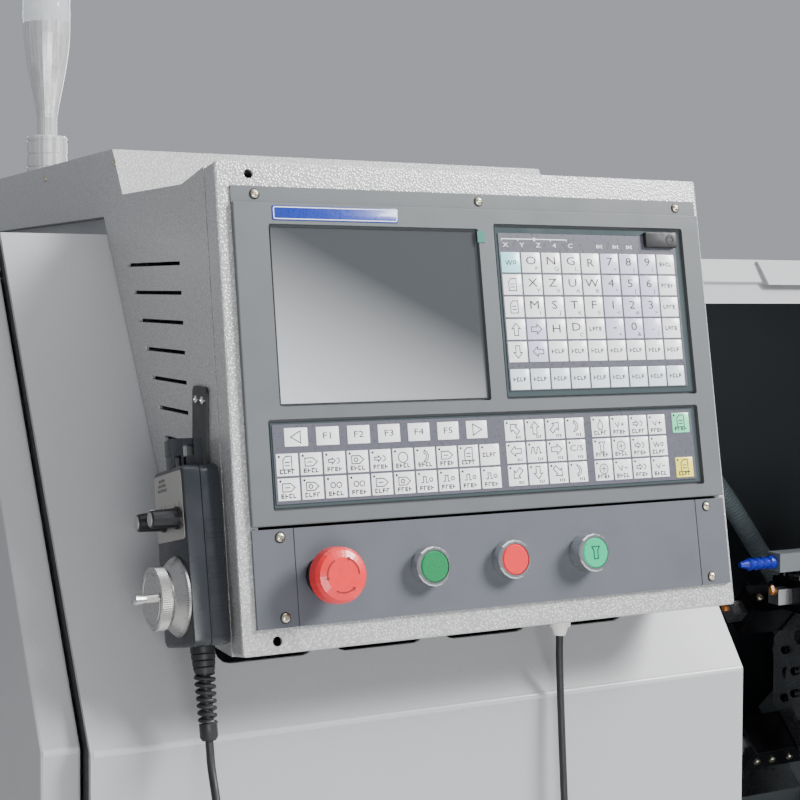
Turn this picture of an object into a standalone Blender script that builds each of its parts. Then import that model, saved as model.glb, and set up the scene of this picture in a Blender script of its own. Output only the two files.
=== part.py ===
"""CNC turning lathe with a slant bed, an operator console, a hand pendant and a signal tower.

Metres, +Z up. X runs along the spindle, from the headstock end (left) to the tailstock end.
The machine frame has its zero at the left end, on the upright front plane and on the floor.
A last step moves that frame so that the whole machine stands centred over the world's origin.
"""
import math

import bmesh
import bpy
from mathutils import Vector

# Whole machine
MACHINE_LENGTH = 2.150
MACHINE_DEPTH = 1.250
ROOF_HEIGHT = 1.622
SLOPED_RISE = 0.378
FRONT_BREAK_HEIGHT = ROOF_HEIGHT - SLOPED_RISE
FRONT_SLOPE_DEG = 35.5
SKIRT_HEIGHT = 0.060
SHEET = 0.003
GAP = 0.0003
OVERRUN = 0.010
EDGE = 0.002

# Covers
END_PANEL_WIDTH = 0.0294
END_PANEL_SETBACK = 0.018
COVER_DEPTH = 0.020
COVER_LEFT = 0.0314
COVER_RIGHT = 0.6167
ROOF_DROP = 0.013
ROOF_THICKNESS = 0.020
SLOT_FIRST = 0.1389
SLOT_WIDTH = 0.081
SLOT_PITCH = 0.0975
SLOT_HEIGHT = 0.020
SLOT_COUNT = 4
SLOT_RISE = 0.046
SLOT_LOW = FRONT_BREAK_HEIGHT + SLOT_RISE
SPINDLE_HEIGHT = 0.900
SILL_DROP = 0.100
SILL_HEIGHT = SPINDLE_HEIGHT - SILL_DROP
DOOR_CLEARANCE = 0.002
DOOR_END_MARGIN = 0.00065
DOOR_WIDTH = (MACHINE_LENGTH - COVER_RIGHT - DOOR_CLEARANCE) / 2 - DOOR_END_MARGIN
DOOR_THICKNESS = 0.026
HEADER_DROP = 0.060
HEADER_LOW = ROOF_HEIGHT - HEADER_DROP
DOOR_HEADROOM = 0.004
DOOR_TOP = HEADER_LOW - DOOR_HEADROOM
RIGHT_COVER_SETBACK = 0.032
WINDOW_MARGINS = 0.305
WINDOW_WIDTH = DOOR_WIDTH - WINDOW_MARGINS
WINDOW_DROP = 0.058
WINDOW_RISE = 0.210
WINDOW_HIGH = DOOR_TOP - WINDOW_DROP
WINDOW_LOW = WINDOW_HIGH - WINDOW_RISE
GLASS_THICKNESS = 0.008
HANDLE_LENGTH = 0.240
HANDLE_RADIUS = 0.011
HANDLE_REACH = 0.045
HANDLE_INSET = 0.055
HANDLE_DROP = 0.164
HANDLE_CENTRE_HEIGHT = FRONT_BREAK_HEIGHT - HANDLE_DROP
HEADER_DEPTH = 0.120
HEADER_LIP = 0.024
RAIL_COVER_LEFT = 0.841
RAIL_COVER_PROUD = 0.006

# Inside: spindle line, slanted frame, bed
SPINDLE_DEPTH = 0.330
SLANT_DEG = 45.0
WAY_DROP = 0.210
WAY_RISE = 0.040
BED_LOW_REACH = 0.190
BED_HIGH_REACH = 0.270
WAY_WIDTH = 0.070
WAY_INSET = 0.020
BED_LEFT = 0.120
BED_MARGIN = 0.130
BED_RIGHT = MACHINE_LENGTH - BED_MARGIN
BED_BACK_MARGIN = 0.350
BED_BACK = MACHINE_DEPTH - BED_BACK_MARGIN
BED_SHELF_HEIGHT = SPINDLE_HEIGHT
BASE_HEIGHT = 0.450
BASE_LEFT = 0.090
BASE_MARGIN = 0.090
BASE_RIGHT = MACHINE_LENGTH - BASE_MARGIN
BASE_FRONT = 0.180
BASE_BACK_MARGIN = 0.170
BASE_BACK = MACHINE_DEPTH - BASE_BACK_MARGIN
PAD_RADIUS = 0.055
PAD_HEIGHT = 0.050
PAD_INSET = 0.120
PAD_COLUMNS = 3
PAD_ROWS = 2

# Headstock, chuck, saddle, turret, tailstock
HEADSTOCK_LEFT = 0.200
HEADSTOCK_RIGHT = 0.600
HEADSTOCK_RADIUS = 0.130
SPINDLE_RADIUS = 0.055
GUARD_LEFT = 0.625
CHUCK_LEFT = 0.660
CHUCK_LENGTH = 0.090
CHUCK_RADIUS = 0.100
CHUCK_BORE_RADIUS = 0.026
JAW_COUNT = 3
JAW_WIDTH = 0.032
JAW_LENGTH = 0.058
JAW_HEIGHT = 0.040
JAW_INNER_RADIUS = 0.034
JAW_STEP = 0.014
TAILSTOCK_MARGIN = 0.340
TAILSTOCK_LEFT = BED_RIGHT - TAILSTOCK_MARGIN
SADDLE_MARGIN = 0.455
SADDLE_LEFT = TAILSTOCK_LEFT - SADDLE_MARGIN
SADDLE_LENGTH = 0.300
SADDLE_HEIGHT = 0.070
SADDLE_OVERHANG = 0.020
SLIDE_HEIGHT = 0.060
SLIDE_WIDTH = 0.240
SLIDE_LOW = 0.060
SLIDE_HIGH = 0.400
TURRET_OFFSET = 0.220
TURRET_REACH = 0.065
TURRET_FACE = SADDLE_LEFT - TURRET_REACH
TURRET_THICKNESS = 0.080
TURRET_RADIUS = 0.115
TURRET_SIDES = 8
TURRET_HEAD_RADIUS = 0.090
HOLDER_LENGTH = 0.070
HOLDER_WIDTH = 0.058
HOLDER_HEIGHT = 0.042
NOZZLE_RISE = 0.172
NOZZLE_REACH = 0.055
NOZZLE_RADIUS = 0.0085
NOZZLE_ARM = 0.024
NOZZLE_ARM_REACH = 0.092
NOZZLE_ARM_LEFT = TURRET_FACE - NOZZLE_ARM_REACH
BORING_RADIUS = 0.024
BORING_LENGTH = 0.120
SCREW_RADIUS = 0.018
TAILSTOCK_LENGTH = 0.230
TAILSTOCK_RADIUS = 0.070
QUILL_RADIUS = 0.032
QUILL_REACH = 0.080
CENTRE_LENGTH = 0.045
REAR_GUARD_MARGIN = 0.400
REAR_GUARD_DEPTH = MACHINE_DEPTH - REAR_GUARD_MARGIN
GUARD_DROP = 0.042
GUARD_TOP = ROOF_HEIGHT - GUARD_DROP
HOSE_RADIUS = 0.015
HOSE_BACK = 0.030
HOSE_SPAN = 0.255
HOSE_DROP = 0.200
HOSE_RISE = 0.110
HOSE_LEAD = 0.022
HOSE_BOW = 0.060
HOSE_SIDE_BOW = 0.050
HOSE_SHARES = ((0.137, 0.095, HOSE_SIDE_BOW), (0.392, 0.316, HOSE_BOW), (0.608, 0.514, HOSE_BOW),
               (0.792, 0.686, HOSE_BOW), (0.933, 0.859, HOSE_SIDE_BOW))

# Rear
CABINET_LEFT = 0.140
CABINET_RIGHT = 0.840
CABINET_LOW = 0.560
CABINET_DROP = 0.162
CABINET_HIGH = ROOF_HEIGHT - CABINET_DROP
CABINET_DEPTH = 0.180
CABINET_DOOR_THICKNESS = 0.022

# Console
PANEL_LEFT = 0.1354
PANEL_RISE = 0.028
PANEL_TOP_HEIGHT = ROOF_HEIGHT + PANEL_RISE
PANEL_TILT_DEG = 9.705
PANEL_WIDTH = 0.420
PANEL_HEIGHT = 0.321
MARGIN_LEFT = 0.0109
MARGIN_RIGHT = 0.0047
MARGIN_TOP = 0.01875
MARGIN_BOTTOM = 0.0182
RIM_DEPTH = 0.022
RIM_ROUND = 0.003
HOOD_FLAT_FRONT = 0.0735
HOOD_FLAT_BACK = 0.2236
HOOD_RISE = 0.0048
HOOD_FLAT_HEIGHT = PANEL_TOP_HEIGHT + HOOD_RISE
DUCT_RISE = 0.0455
DUCT_TOP = PANEL_TOP_HEIGHT + DUCT_RISE
DUCT_LIFT = 0.016
DUCT_BOTTOM = ROOF_HEIGHT + DUCT_LIFT
DUCT_REAR_MARGIN = 0.350
DUCT_REAR = MACHINE_DEPTH - DUCT_REAR_MARGIN
VENT_COUNT = 7
VENT_PITCH = 0.0229
VENT_DROP = 0.0557
VENT_FIRST_HEIGHT = PANEL_TOP_HEIGHT - VENT_DROP
VENT_HEIGHT = 0.003
VENT_FRONT_MARGIN = 0.0637
VENT_BACK_MARGIN = 0.0397
COVER_HOLE_RADIUS = 0.0036
COVER_HOLE_INSET = 0.0265

# Controller
FLANGE_HEIGHT = 0.0123
FLANGE_THICKNESS = 0.0016
BEZEL_PROUD = 0.0045
BEZEL_BOTTOM = 0.249
BEZEL_BODY_INSET = 0.008
BEZEL_BODY_DEPTH = 0.055
WINDOW_DEPTH = 0.0045
SCREEN_LEFT = 0.0270
SCREEN_RIGHT = 0.2045
SCREEN_TOP = 0.0285
SCREEN_BOTTOM = 0.1636
KEYS_LEFT = 0.2185
KEYS_RIGHT = 0.4025
KEYS_TOP = 0.0240
KEYS_BOTTOM = 0.1636
FUNCTION_LEFT = 0.0170
FUNCTION_RIGHT = 0.4015
FUNCTION_TOP = 0.1727
FUNCTION_BOTTOM = 0.2385
FILM_THICKNESS = 0.0015
KEY_RISE = 0.0006
KEY_EDGE = 0.0009

# Button panel
BUTTONS_TOP = 0.251
BUTTON_LINE = 0.2866
BUTTON_PANEL_THICKNESS = 0.0030
SEAM_LEFT = 0.0315
SEAM_RIGHT = 0.3905
SEAM_WIDTH = 0.0008
SEAM_DEPTH = 0.0010
ESTOP_ACROSS = 0.0540
GREEN_ACROSS = 0.1390
RED_ACROSS = 0.2090
LIT_ACROSS = 0.2790
RING_RADIUS = 0.0148
RING_HEIGHT = 0.0105
LIT_RING_HEIGHT = 0.0150
CAP_RADIUS = 0.0118
CAP_TRAVEL = 0.0040
BARREL_RADIUS = 0.0110
BARREL_DEPTH = 0.030
ESTOP_COLLAR_RADIUS = 0.0150
ESTOP_COLLAR_HEIGHT = 0.0120
ESTOP_HEAD_RADIUS = 0.0205
ESTOP_HEAD_HEIGHT = 0.0160
ESTOP_STEM_RADIUS = 0.0100
ESTOP_TRAVEL = 0.0045

# Signal tower
TOWER_ACROSS = 0.1554
TOWER_DEPTH = 0.591
TOWER_FOOT_RADIUS = 0.021
TOWER_FOOT_HEIGHT = 0.041
TOWER_NECK_RADIUS = 0.0105
TOWER_NECK_HEIGHT = 0.019
TOWER_FLARE_RADIUS = 0.0245
TOWER_FLARE_HEIGHT = 0.100
TOWER_LENS_HEIGHT = 0.180
TOWER_CAP_HEIGHT = 0.014

# Pendant
PENDANT_DOWN = 0.26614
PENDANT_INWARD = 0.04785
PENDANT_TILT_DEG = 12.2
PENDANT_WIDTH = 0.067
PENDANT_LENGTH = 0.129
PENDANT_THICKNESS = 0.028
PENDANT_STANDOFF = 0.0032
HOOK_THICKNESS = 0.002
HOOK_WIDTH = 0.030
HOOK_SETBACK = 0.014688
HOOK_RISE = 0.1224
HOOK_LENGTH = 0.070
HOOK_CORNER = 0.005
WHEEL_ACROSS = -0.006
WHEEL_DROP = 0.028
DIAL_RADIUS = 0.029
DIAL_HEIGHT = 0.005
WHEEL_RADIUS = 0.023
WHEEL_RIM = 0.009
WHEEL_STANDOFF = 0.011
WHEEL_TEETH = 36
CRANK_OFFSET = 0.017
CRANK_RADIUS = 0.0043
CRANK_LENGTH = 0.019
KNOB_RADIUS = 0.0072
KNOB_LENGTH = 0.021
KNOB_RISE = 0.0275
KNOB_ACROSS = (-0.0185, 0.0125)
RELIEF_BOOT_RADIUS = 0.009
RELIEF_BOOT_LENGTH = 0.019
RELIEF_COIL_RADIUS = 0.008
RELIEF_COIL_LENGTH = 0.035
RELIEF_COIL_TURNS = 5
RELIEF_COLLAR_RADIUS = 0.0065
RELIEF_COLLAR_LENGTH = 0.012
RELIEF_ACROSS = -0.010

# Cords
CORD_RADIUS = 0.003
CORD_STEP = 0.018
GLAND_RADIUS = 0.009
GLAND_LENGTH = 0.015
GLAND_ACROSS = 0.4184
GLAND_DEPTH = -0.010
INLET_RADIUS = 0.010
INLET_LENGTH = 0.012
INLET_HEIGHT = 0.620
PENDANT_INLET_ACROSS = 0.140
CONSOLE_INLET_ACROSS = 0.436
CORD_LEAD = 0.016
PENDANT_CORD_PLACES = ((0.1075, -0.062, 0.88388), (0.112, -0.068, 0.72604), (0.118, -0.070, 0.53664),
                       (0.126, -0.070, 0.34724), (0.133, -0.066, 0.18941), (0.138, -0.052, 0.07103),
                       (0.140, -0.037, 0.01578), (0.140, -0.024, 0.00158))
CONSOLE_CORD_PLACES = ((0.4200, -0.0115, 0.89014), (0.4240, -0.0140, 0.74179), (0.4280, -0.0200, 0.56376),
                       (0.4315, -0.0300, 0.38573), (0.4340, -0.0400, 0.23737), (0.4355, -0.0450, 0.11869),
                       (0.4360, -0.0400, 0.02967), (0.4360, -0.0240, 0.00148))

ROUND_STEPS = 28
SMALL_STEPS = 16
ARC_STEPS = 6
SHARP_DEG = 35.0

SLOPE = math.tan(math.radians(FRONT_SLOPE_DEG))
SLANT = math.radians(SLANT_DEG)
TILT = math.radians(PANEL_TILT_DEG)
ORIGIN = (0.0, 0.0, 0.0)

# Solid front wall of the door header
HEADER_WALL = 0.0120

# Keys
KEY_COLUMNS = 9
KEY_ROWS = 5
KEY_COLUMN_MARGIN = 0.0055
KEY_RIGHT_MARGIN = 0.0077
KEY_HEADER = 0.0224
KEY_ROW_PITCH = 0.0179
KEY_ROW_BREAK = 0.0040
KEY_LAST_ROW_HEIGHT = 0.0170
FUNCTION_MARGIN = 0.0065
FUNCTION_ROW_PITCH = 0.01735
FUNCTION_ROWS = 3
FUNCTION_GROUPS = ((0.0220, 10, 0.2085), (0.2150, 4, 0.2890), (0.2955, 4, 0.3688), (0.3750, 1, 0.3930))
SOFT_KEYS = 7
SOFT_KEY_LEFT = 0.0296
SOFT_KEY_PITCH = 0.0252
SOFT_KEY_WIDTH = 0.0183
SOFT_KEY_TOP = 0.1795
SOFT_KEY_HEIGHT = 0.0130

# Shares of a length, and angles, that shape the small turned pieces
CASTING_ARC_DEG = 10
QUILL_BORE_SHARE = 0.75
HANDLE_POST_SHARE = 0.7
NOZZLE_BEADS = 4
BEAD_SHARE = 0.75
BEAD_WAIST_SHARE = 0.7
NOZZLE_TIP_SHARE = 0.4
COVER_EDGE_SHARE = 0.6
HEAD_CROWN_SHARES = ((2.2, 0.97), (0.8, 0.86), (0, 0.62))
TOWER_FOOT_RINGS = 3
TOWER_FLARE_POWER = 1.2
TOWER_CAP_SHARE = 0.7
WHEEL_HUB_SHARE = 0.45
CRANK_SHARES = ((0, 0.8), (0.5, 0.72), (0.9, 1.0), (1.0, 0.7))
KNOB_FLANGE_SHARE = 1.15
KNOB_TAPER_SHARE = 0.92
KNOB_END_SHARE = 0.8
BOOT_END_SHARE = 0.8
COIL_SHARES = ((0.25, 1.0), (0.6, 1.0), (1.0, 0.7))
COLLAR_END_SHARE = 0.8
GLAND_SHARES = ((0, 1.0), (0.5, 1.0), (0.6, 0.75), (1.0, 0.55))

# The pendant's case
CASE_CORNER = 0.006
CASE_NOTCH_DEPTH = 0.0084
CASE_NOTCH_LOW = 0.0355
CASE_NOTCH_HIGH = 0.0129

# Tool blocks by their place on the rim of the turret
TOOL_STATIONS = {"tool_holder_top": 2, "tool_holder_upper": 1}
BORING_STATION = 7



def clear_scene():
    """Start from an empty scene."""
    for item in list(bpy.data.objects):
        bpy.data.objects.remove(item, do_unlink=True)


def material(name, colour, roughness, metallic=0.0, alpha=1.0):
    """A Principled BSDF with one colour."""
    made = bpy.data.materials.new(name)
    made.use_nodes = True
    shader = made.node_tree.nodes["Principled BSDF"]
    shader.inputs["Base Color"].default_value = (*colour, 1.0)
    shader.inputs["Roughness"].default_value = roughness
    shader.inputs["Metallic"].default_value = metallic
    shader.inputs["Alpha"].default_value = alpha
    return made


def empty(name, parent=None, location=ORIGIN, tilt=0.0):
    """A frame for other objects, tilted about X."""
    made = bpy.data.objects.new(name, None)
    made.location = location
    made.rotation_euler = (tilt, 0.0, 0.0)
    made.parent = parent
    bpy.context.scene.collection.objects.link(made)
    return made


def add(name, shape, finish, parent, origin=ORIGIN, bevel=0.0, smooth=False):
    """Turn a bmesh into an object whose own origin is at the given place."""
    bmesh.ops.translate(shape, verts=shape.verts, vec=-Vector(origin))
    bmesh.ops.recalc_face_normals(shape, faces=shape.faces)
    mesh = bpy.data.meshes.new(name)
    shape.to_mesh(mesh)
    shape.free()
    if finish:
        mesh.materials.append(finish)
    if smooth:
        mesh.shade_smooth()
        mesh.set_sharp_from_angle(angle=math.radians(SHARP_DEG))
    made = bpy.data.objects.new(name, mesh)
    made.location = origin
    made.parent = parent
    bpy.context.scene.collection.objects.link(made)
    if bevel:
        rounding = made.modifiers.new("edge_round", "BEVEL")
        rounding.width = bevel
        rounding.segments = 2
        rounding.limit_method = "ANGLE"
    return made


def combine(target, shape, operation):
    """Cut or join a hidden helper shape, given in the target's parent frame."""
    helper = add(target.name + "_" + operation.lower(), shape, None, target.parent)
    helper.hide_render = True
    helper.display_type = "WIRE"
    change = target.modifiers.new(operation.lower(), "BOOLEAN")
    change.operation = operation
    change.solver = "EXACT"
    change.object = helper
    return target


def cut(target, *shapes):
    """Take one or more shapes out of the target."""
    for shape in shapes:
        combine(target, shape, "DIFFERENCE")
    return target


def join(target, *shapes):
    """Fuse one or more shapes with the target."""
    for shape in shapes:
        combine(target, shape, "UNION")
    return target


def box(low, high):
    """A box between two corners."""
    shape = bmesh.new()
    bmesh.ops.create_cube(shape, size=1.0)
    low = Vector(low)
    high = Vector(high)
    for vert in shape.verts:
        share = vert.co + Vector((0.5, 0.5, 0.5))
        vert.co = Vector(tuple(a + (b - a) * s for a, b, s in zip(low, high, share)))
    return shape


def prism(outline, low, high, axis="X"):
    """Extrude a closed outline along one axis. X takes (y, z), Y takes (x, z), Z takes (x, y)."""
    order = {"X": (2, 0, 1), "Y": (0, 2, 1), "Z": (0, 1, 2)}[axis]
    shape = bmesh.new()
    ring = []
    for first, second in outline:
        triple = (first, second, low)
        ring.append(shape.verts.new([triple[place] for place in order]))
    face = shape.faces.new(ring)
    grown = bmesh.ops.extrude_face_region(shape, geom=[face])
    moved = [item for item in grown["geom"] if isinstance(item, bmesh.types.BMVert)]
    shift = [(0.0, 0.0, high - low)[place] for place in order]
    bmesh.ops.translate(shape, verts=moved, vec=shift)
    return shape


def turned(profile, centre, axis="X", steps=ROUND_STEPS):
    """Spin a profile of (place along the axis, radius) about an axis through the centre."""
    direction = {"X": Vector((1, 0, 0)), "Y": Vector((0, 1, 0)), "Z": Vector((0, 0, 1))}[axis]
    side = {"X": Vector((0, 0, 1)), "Y": Vector((0, 0, 1)), "Z": Vector((1, 0, 0))}[axis]
    base = Vector(centre)
    shape = bmesh.new()
    chain = [shape.verts.new(base + direction * along + side * radius) for along, radius in profile]
    edges = [shape.edges.new(pair) for pair in zip(chain, chain[1:])]
    bmesh.ops.spin(shape, geom=chain + edges, cent=base, axis=direction,
                   angle=math.tau, steps=steps, use_merge=True)
    bmesh.ops.remove_doubles(shape, verts=shape.verts, dist=GAP / ROUND_STEPS)
    return shape


def cylinder(centre, radius, low, high, axis="X", steps=ROUND_STEPS):
    """A plain cylinder along one axis."""
    return turned([(low, 0), (low, radius), (high, radius), (high, 0)], centre, axis, steps)


def arc(centre, radius, start, end, steps=ARC_STEPS):
    """Points on an arc, angles in degrees."""
    points = []
    for index in range(steps + 1):
        angle = math.radians(start + (end - start) * index / steps)
        points.append((centre[0] + radius * math.cos(angle), centre[1] + radius * math.sin(angle)))
    return points


def stadium(left, right, low, high):
    """An outline with half-round ends."""
    radius = (high - low) / 2
    middle = (high + low) / 2
    return (arc((left + radius, middle), radius, 270, 90, ARC_STEPS)
            + arc((right - radius, middle), radius, 90, -90, ARC_STEPS))


def inset(outline, distance):
    """Move every side of a closed outline inwards (the outline runs anticlockwise)."""
    points = [Vector(point) for point in outline]
    moved = []
    for index, point in enumerate(points):
        before = (point - points[index - 1]).normalized()
        after = (points[(index + 1) % len(points)] - point).normalized()
        normal_before = Vector((-before.y, before.x))
        normal_after = Vector((-after.y, after.x))
        middle = (normal_before + normal_after).normalized()
        moved.append(tuple(point + middle * distance / middle.dot(normal_before)))
    return moved


def front_depth(height, setback=0.0):
    """Depth of the front skin at a height: upright below the break, sloping above it."""
    return setback + max(0.0, height - FRONT_BREAK_HEIGHT) * SLOPE


def front_band(setback, depth, low, high):
    """Outline of a sheet that follows the front, between two heights."""
    return [(front_depth(low, setback + depth), low),
            (setback + depth, FRONT_BREAK_HEIGHT),
            (front_depth(high, setback + depth), high),
            (front_depth(high, setback), high),
            (setback, FRONT_BREAK_HEIGHT),
            (front_depth(low, setback), low)]


def front_pan(name, finish, parent, left, right, setback, depth, low, high):
    """A folded cover: a skin along the front with a return flange all round, open behind."""
    pan = add(name, prism(front_band(setback, depth, low, high), left, right), finish, parent)
    hollow = front_band(setback + SHEET, depth + OVERRUN, low + SHEET, high - SHEET)
    return cut(pan, prism(hollow, left + SHEET, right - SHEET))


def slanted(along, above):
    """(y, z) of a place given along the slanted bed and square to it, from the spindle line."""
    return (SPINDLE_DEPTH + along * math.cos(SLANT) - above * math.sin(SLANT),
            SPINDLE_HEIGHT + along * math.sin(SLANT) + above * math.cos(SLANT))


def paints():
    """All the finishes."""
    return {
        "grey": material("grey_paint", (0.46, 0.46, 0.47), 0.45),
        "silver": material("silver_paint", (0.62, 0.62, 0.63), 0.42, 0.3),
        "dark": material("dark_guard_paint", (0.03, 0.035, 0.04), 0.5),
        "iron": material("cast_iron_paint", (0.22, 0.24, 0.25), 0.6),
        "steel": material("machined_steel", (0.55, 0.55, 0.56), 0.3, 1.0),
        "black_steel": material("blackened_steel", (0.05, 0.05, 0.055), 0.4, 0.8),
        "bezel": material("bezel_plastic", (0.19, 0.22, 0.22), 0.5),
        "button_plate": material("button_plate_plastic", (0.19, 0.21, 0.24), 0.5),
        "screen": material("screen_glass", (0.22, 0.24, 0.24), 0.15),
        "film": material("keypad_film", (0.62, 0.62, 0.66), 0.35),
        "black": material("black_plastic", (0.03, 0.03, 0.035), 0.45),
        "red": material("red_plastic", (0.75, 0.06, 0.06), 0.4),
        "green": material("green_plastic", (0.10, 0.35, 0.18), 0.4),
        "lit_green": material("lit_green_lens", (0.05, 0.65, 0.30), 0.2),
        "chrome": material("plated_ring", (0.8, 0.8, 0.8), 0.15, 1.0),
        "aluminium": material("aluminium", (0.75, 0.75, 0.76), 0.25, 1.0),
        "clear": material("clear_lens", (0.85, 0.87, 0.88), 0.1, 0.0, 0.4),
        "glass": material("window_glass", (0.6, 0.66, 0.66), 0.05, 0.0, 0.35),
        "white": material("white_nylon", (0.85, 0.84, 0.80), 0.5),
        "hose": material("hose_plastic", (0.16, 0.22, 0.24), 0.45),
        "blue": material("blue_plastic", (0.02, 0.03, 0.55), 0.4),
    }


def machine_base(frame, finish):
    """The cast base with its toe recess and its levelling pads."""
    foot = PAD_HEIGHT - EDGE
    outline = [(BASE_FRONT + PAD_RADIUS, foot), (BASE_BACK, foot), (BASE_BACK, BASE_HEIGHT - GAP),
               (BASE_FRONT, BASE_HEIGHT - GAP), (BASE_FRONT, foot + PAD_INSET)]
    base = add("machine_base", prism(outline, BASE_LEFT, BASE_RIGHT), finish["iron"], frame)
    span = BASE_RIGHT - BASE_LEFT - PAD_INSET - PAD_INSET
    rows = BASE_BACK - BASE_FRONT - PAD_INSET - PAD_INSET
    for column in range(PAD_COLUMNS):
        for row in range(PAD_ROWS):
            across = BASE_LEFT + PAD_INSET + span * column / (PAD_COLUMNS - 1)
            depth = BASE_FRONT + PAD_INSET + rows * row / (PAD_ROWS - 1)
            join(base, cylinder((across, depth, 0), PAD_RADIUS, 0, PAD_HEIGHT, "Z", SMALL_STEPS))
    return base


def way_outline(middle):
    """One box way on the slanted face, from its lower root round to its upper root."""
    half = WAY_WIDTH / 2
    floor = -WAY_DROP - WAY_RISE
    return [slanted(middle - half, floor), slanted(middle - half, -WAY_DROP),
            slanted(middle + half, -WAY_DROP), slanted(middle + half, floor)]


def slant_bed(frame, finish):
    """The slanted bed casting with its two ways."""
    floor = -WAY_DROP - WAY_RISE
    low_way = -BED_LOW_REACH + WAY_INSET + WAY_WIDTH / 2
    high_way = BED_HIGH_REACH - WAY_INSET - WAY_WIDTH / 2
    low = slanted(-BED_LOW_REACH, floor)
    high = slanted(BED_HIGH_REACH, floor)
    outline = [(low[0], BASE_HEIGHT), low, *way_outline(low_way), *way_outline(high_way), high,
               (high[0], BED_SHELF_HEIGHT), (BED_BACK, BED_SHELF_HEIGHT), (BED_BACK, BASE_HEIGHT)]
    return add("slant_bed", prism(outline, BED_LEFT, BED_RIGHT), finish["iron"], frame)


def on_ways(radius, low_reach, high_reach):
    """Section of a casting that sits on the ways and closes round the spindle line."""
    seat = -WAY_DROP + GAP
    round_top = [slanted(x, y) for x, y in arc((0, 0), radius, -CASTING_ARC_DEG, 180 + CASTING_ARC_DEG,
                                                   ARC_STEPS + ARC_STEPS)]
    return [slanted(-low_reach, seat + WAY_RISE), slanted(-low_reach, seat),
            slanted(high_reach, seat), slanted(high_reach, seat + WAY_RISE), *round_top]


def headstock(frame, finish):
    """The headstock casting, bored for the spindle."""
    outline = on_ways(HEADSTOCK_RADIUS, BED_LOW_REACH, BED_HIGH_REACH)
    body = add("headstock", prism(outline, HEADSTOCK_LEFT, HEADSTOCK_RIGHT), finish["iron"], frame)
    centre = (0, SPINDLE_DEPTH, SPINDLE_HEIGHT)
    clear = (SPINDLE_RADIUS + GAP) / math.cos(math.pi / ROUND_STEPS)
    bore = cylinder(centre, clear, HEADSTOCK_LEFT - OVERRUN, HEADSTOCK_RIGHT + OVERRUN)
    return cut(body, bore)


def chuck(frame, finish):
    """The spindle with the chuck on its nose, one turned body with a through bore."""
    left = HEADSTOCK_LEFT - PAD_INSET / 2
    right = CHUCK_LEFT + CHUCK_LENGTH
    nose = HEADSTOCK_RIGHT + GAP
    profile = [(left, CHUCK_BORE_RADIUS), (left, SPINDLE_RADIUS), (nose, SPINDLE_RADIUS),
               (nose, SPINDLE_RADIUS + WAY_INSET), (CHUCK_LEFT, SPINDLE_RADIUS + WAY_INSET),
               (CHUCK_LEFT, CHUCK_RADIUS), (right - EDGE, CHUCK_RADIUS),
               (right, CHUCK_RADIUS - EDGE), (right, CHUCK_BORE_RADIUS), (left, CHUCK_BORE_RADIUS)]
    centre = (0, SPINDLE_DEPTH, SPINDLE_HEIGHT)
    body = add("chuck", turned(profile, centre), finish["steel"], frame, origin=centre, smooth=True)
    return body


def chuck_jaws(frame, finish):
    """Three stepped jaws on the chuck's face."""
    centre = (0, SPINDLE_DEPTH, SPINDLE_HEIGHT)
    face = CHUCK_LEFT + CHUCK_LENGTH + GAP
    inner = JAW_INNER_RADIUS
    outline = [(face, inner), (face + JAW_HEIGHT, inner), (face + JAW_HEIGHT, inner + JAW_STEP),
               (face + JAW_HEIGHT - JAW_STEP, inner + JAW_STEP),
               (face + JAW_HEIGHT - JAW_STEP, inner + JAW_STEP + JAW_STEP),
               (face + JAW_STEP, inner + JAW_STEP + JAW_STEP),
               (face + JAW_STEP, inner + JAW_LENGTH), (face, inner + JAW_LENGTH)]
    for number in range(JAW_COUNT):
        jaw = add("chuck_jaw_%d" % (number + 1), prism(outline, -JAW_WIDTH / 2, JAW_WIDTH / 2, "Y"),
                  finish["steel"], frame)
        jaw.location = centre
        jaw.rotation_euler = (math.tau * number / JAW_COUNT, 0, 0)


def ball_screw(frame, finish):
    """The Z ball screw between the ways, with its two end bearings."""
    middle = slanted((BED_HIGH_REACH - BED_LOW_REACH) / 2, -WAY_DROP - WAY_RISE + SCREW_RADIUS + EDGE)
    block = SCREW_RADIUS + EDGE - GAP
    left = HEADSTOCK_RIGHT + OVERRUN
    right = BED_RIGHT - WAY_RISE
    profile = [(left, 0), (left, block), (left + WAY_RISE, block),
               (left + WAY_RISE, SCREW_RADIUS - EDGE), (right - WAY_RISE, SCREW_RADIUS - EDGE),
               (right - WAY_RISE, block), (right, block), (right, 0)]
    return add("z_ball_screw", turned(profile, (0, *middle), "X", SMALL_STEPS), finish["steel"], frame,
               smooth=True)


def saddle(frame, finish):
    """The saddle that runs on the ways, with the slanted top for the cross slide."""
    low = -BED_LOW_REACH + WAY_INSET - SADDLE_OVERHANG
    seat = -WAY_DROP + GAP
    lip = seat - WAY_RISE / 2
    top = seat + SADDLE_HEIGHT
    way_edge = -BED_LOW_REACH + WAY_INSET - GAP
    high = BED_HIGH_REACH + SADDLE_OVERHANG + SADDLE_OVERHANG
    outline = [slanted(low, lip), slanted(way_edge, lip), slanted(way_edge, seat),
               slanted(high, seat), slanted(high, top), slanted(low, top)]
    return add("saddle", prism(outline, SADDLE_LEFT, SADDLE_LEFT + SADDLE_LENGTH),
               finish["iron"], frame)


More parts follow.
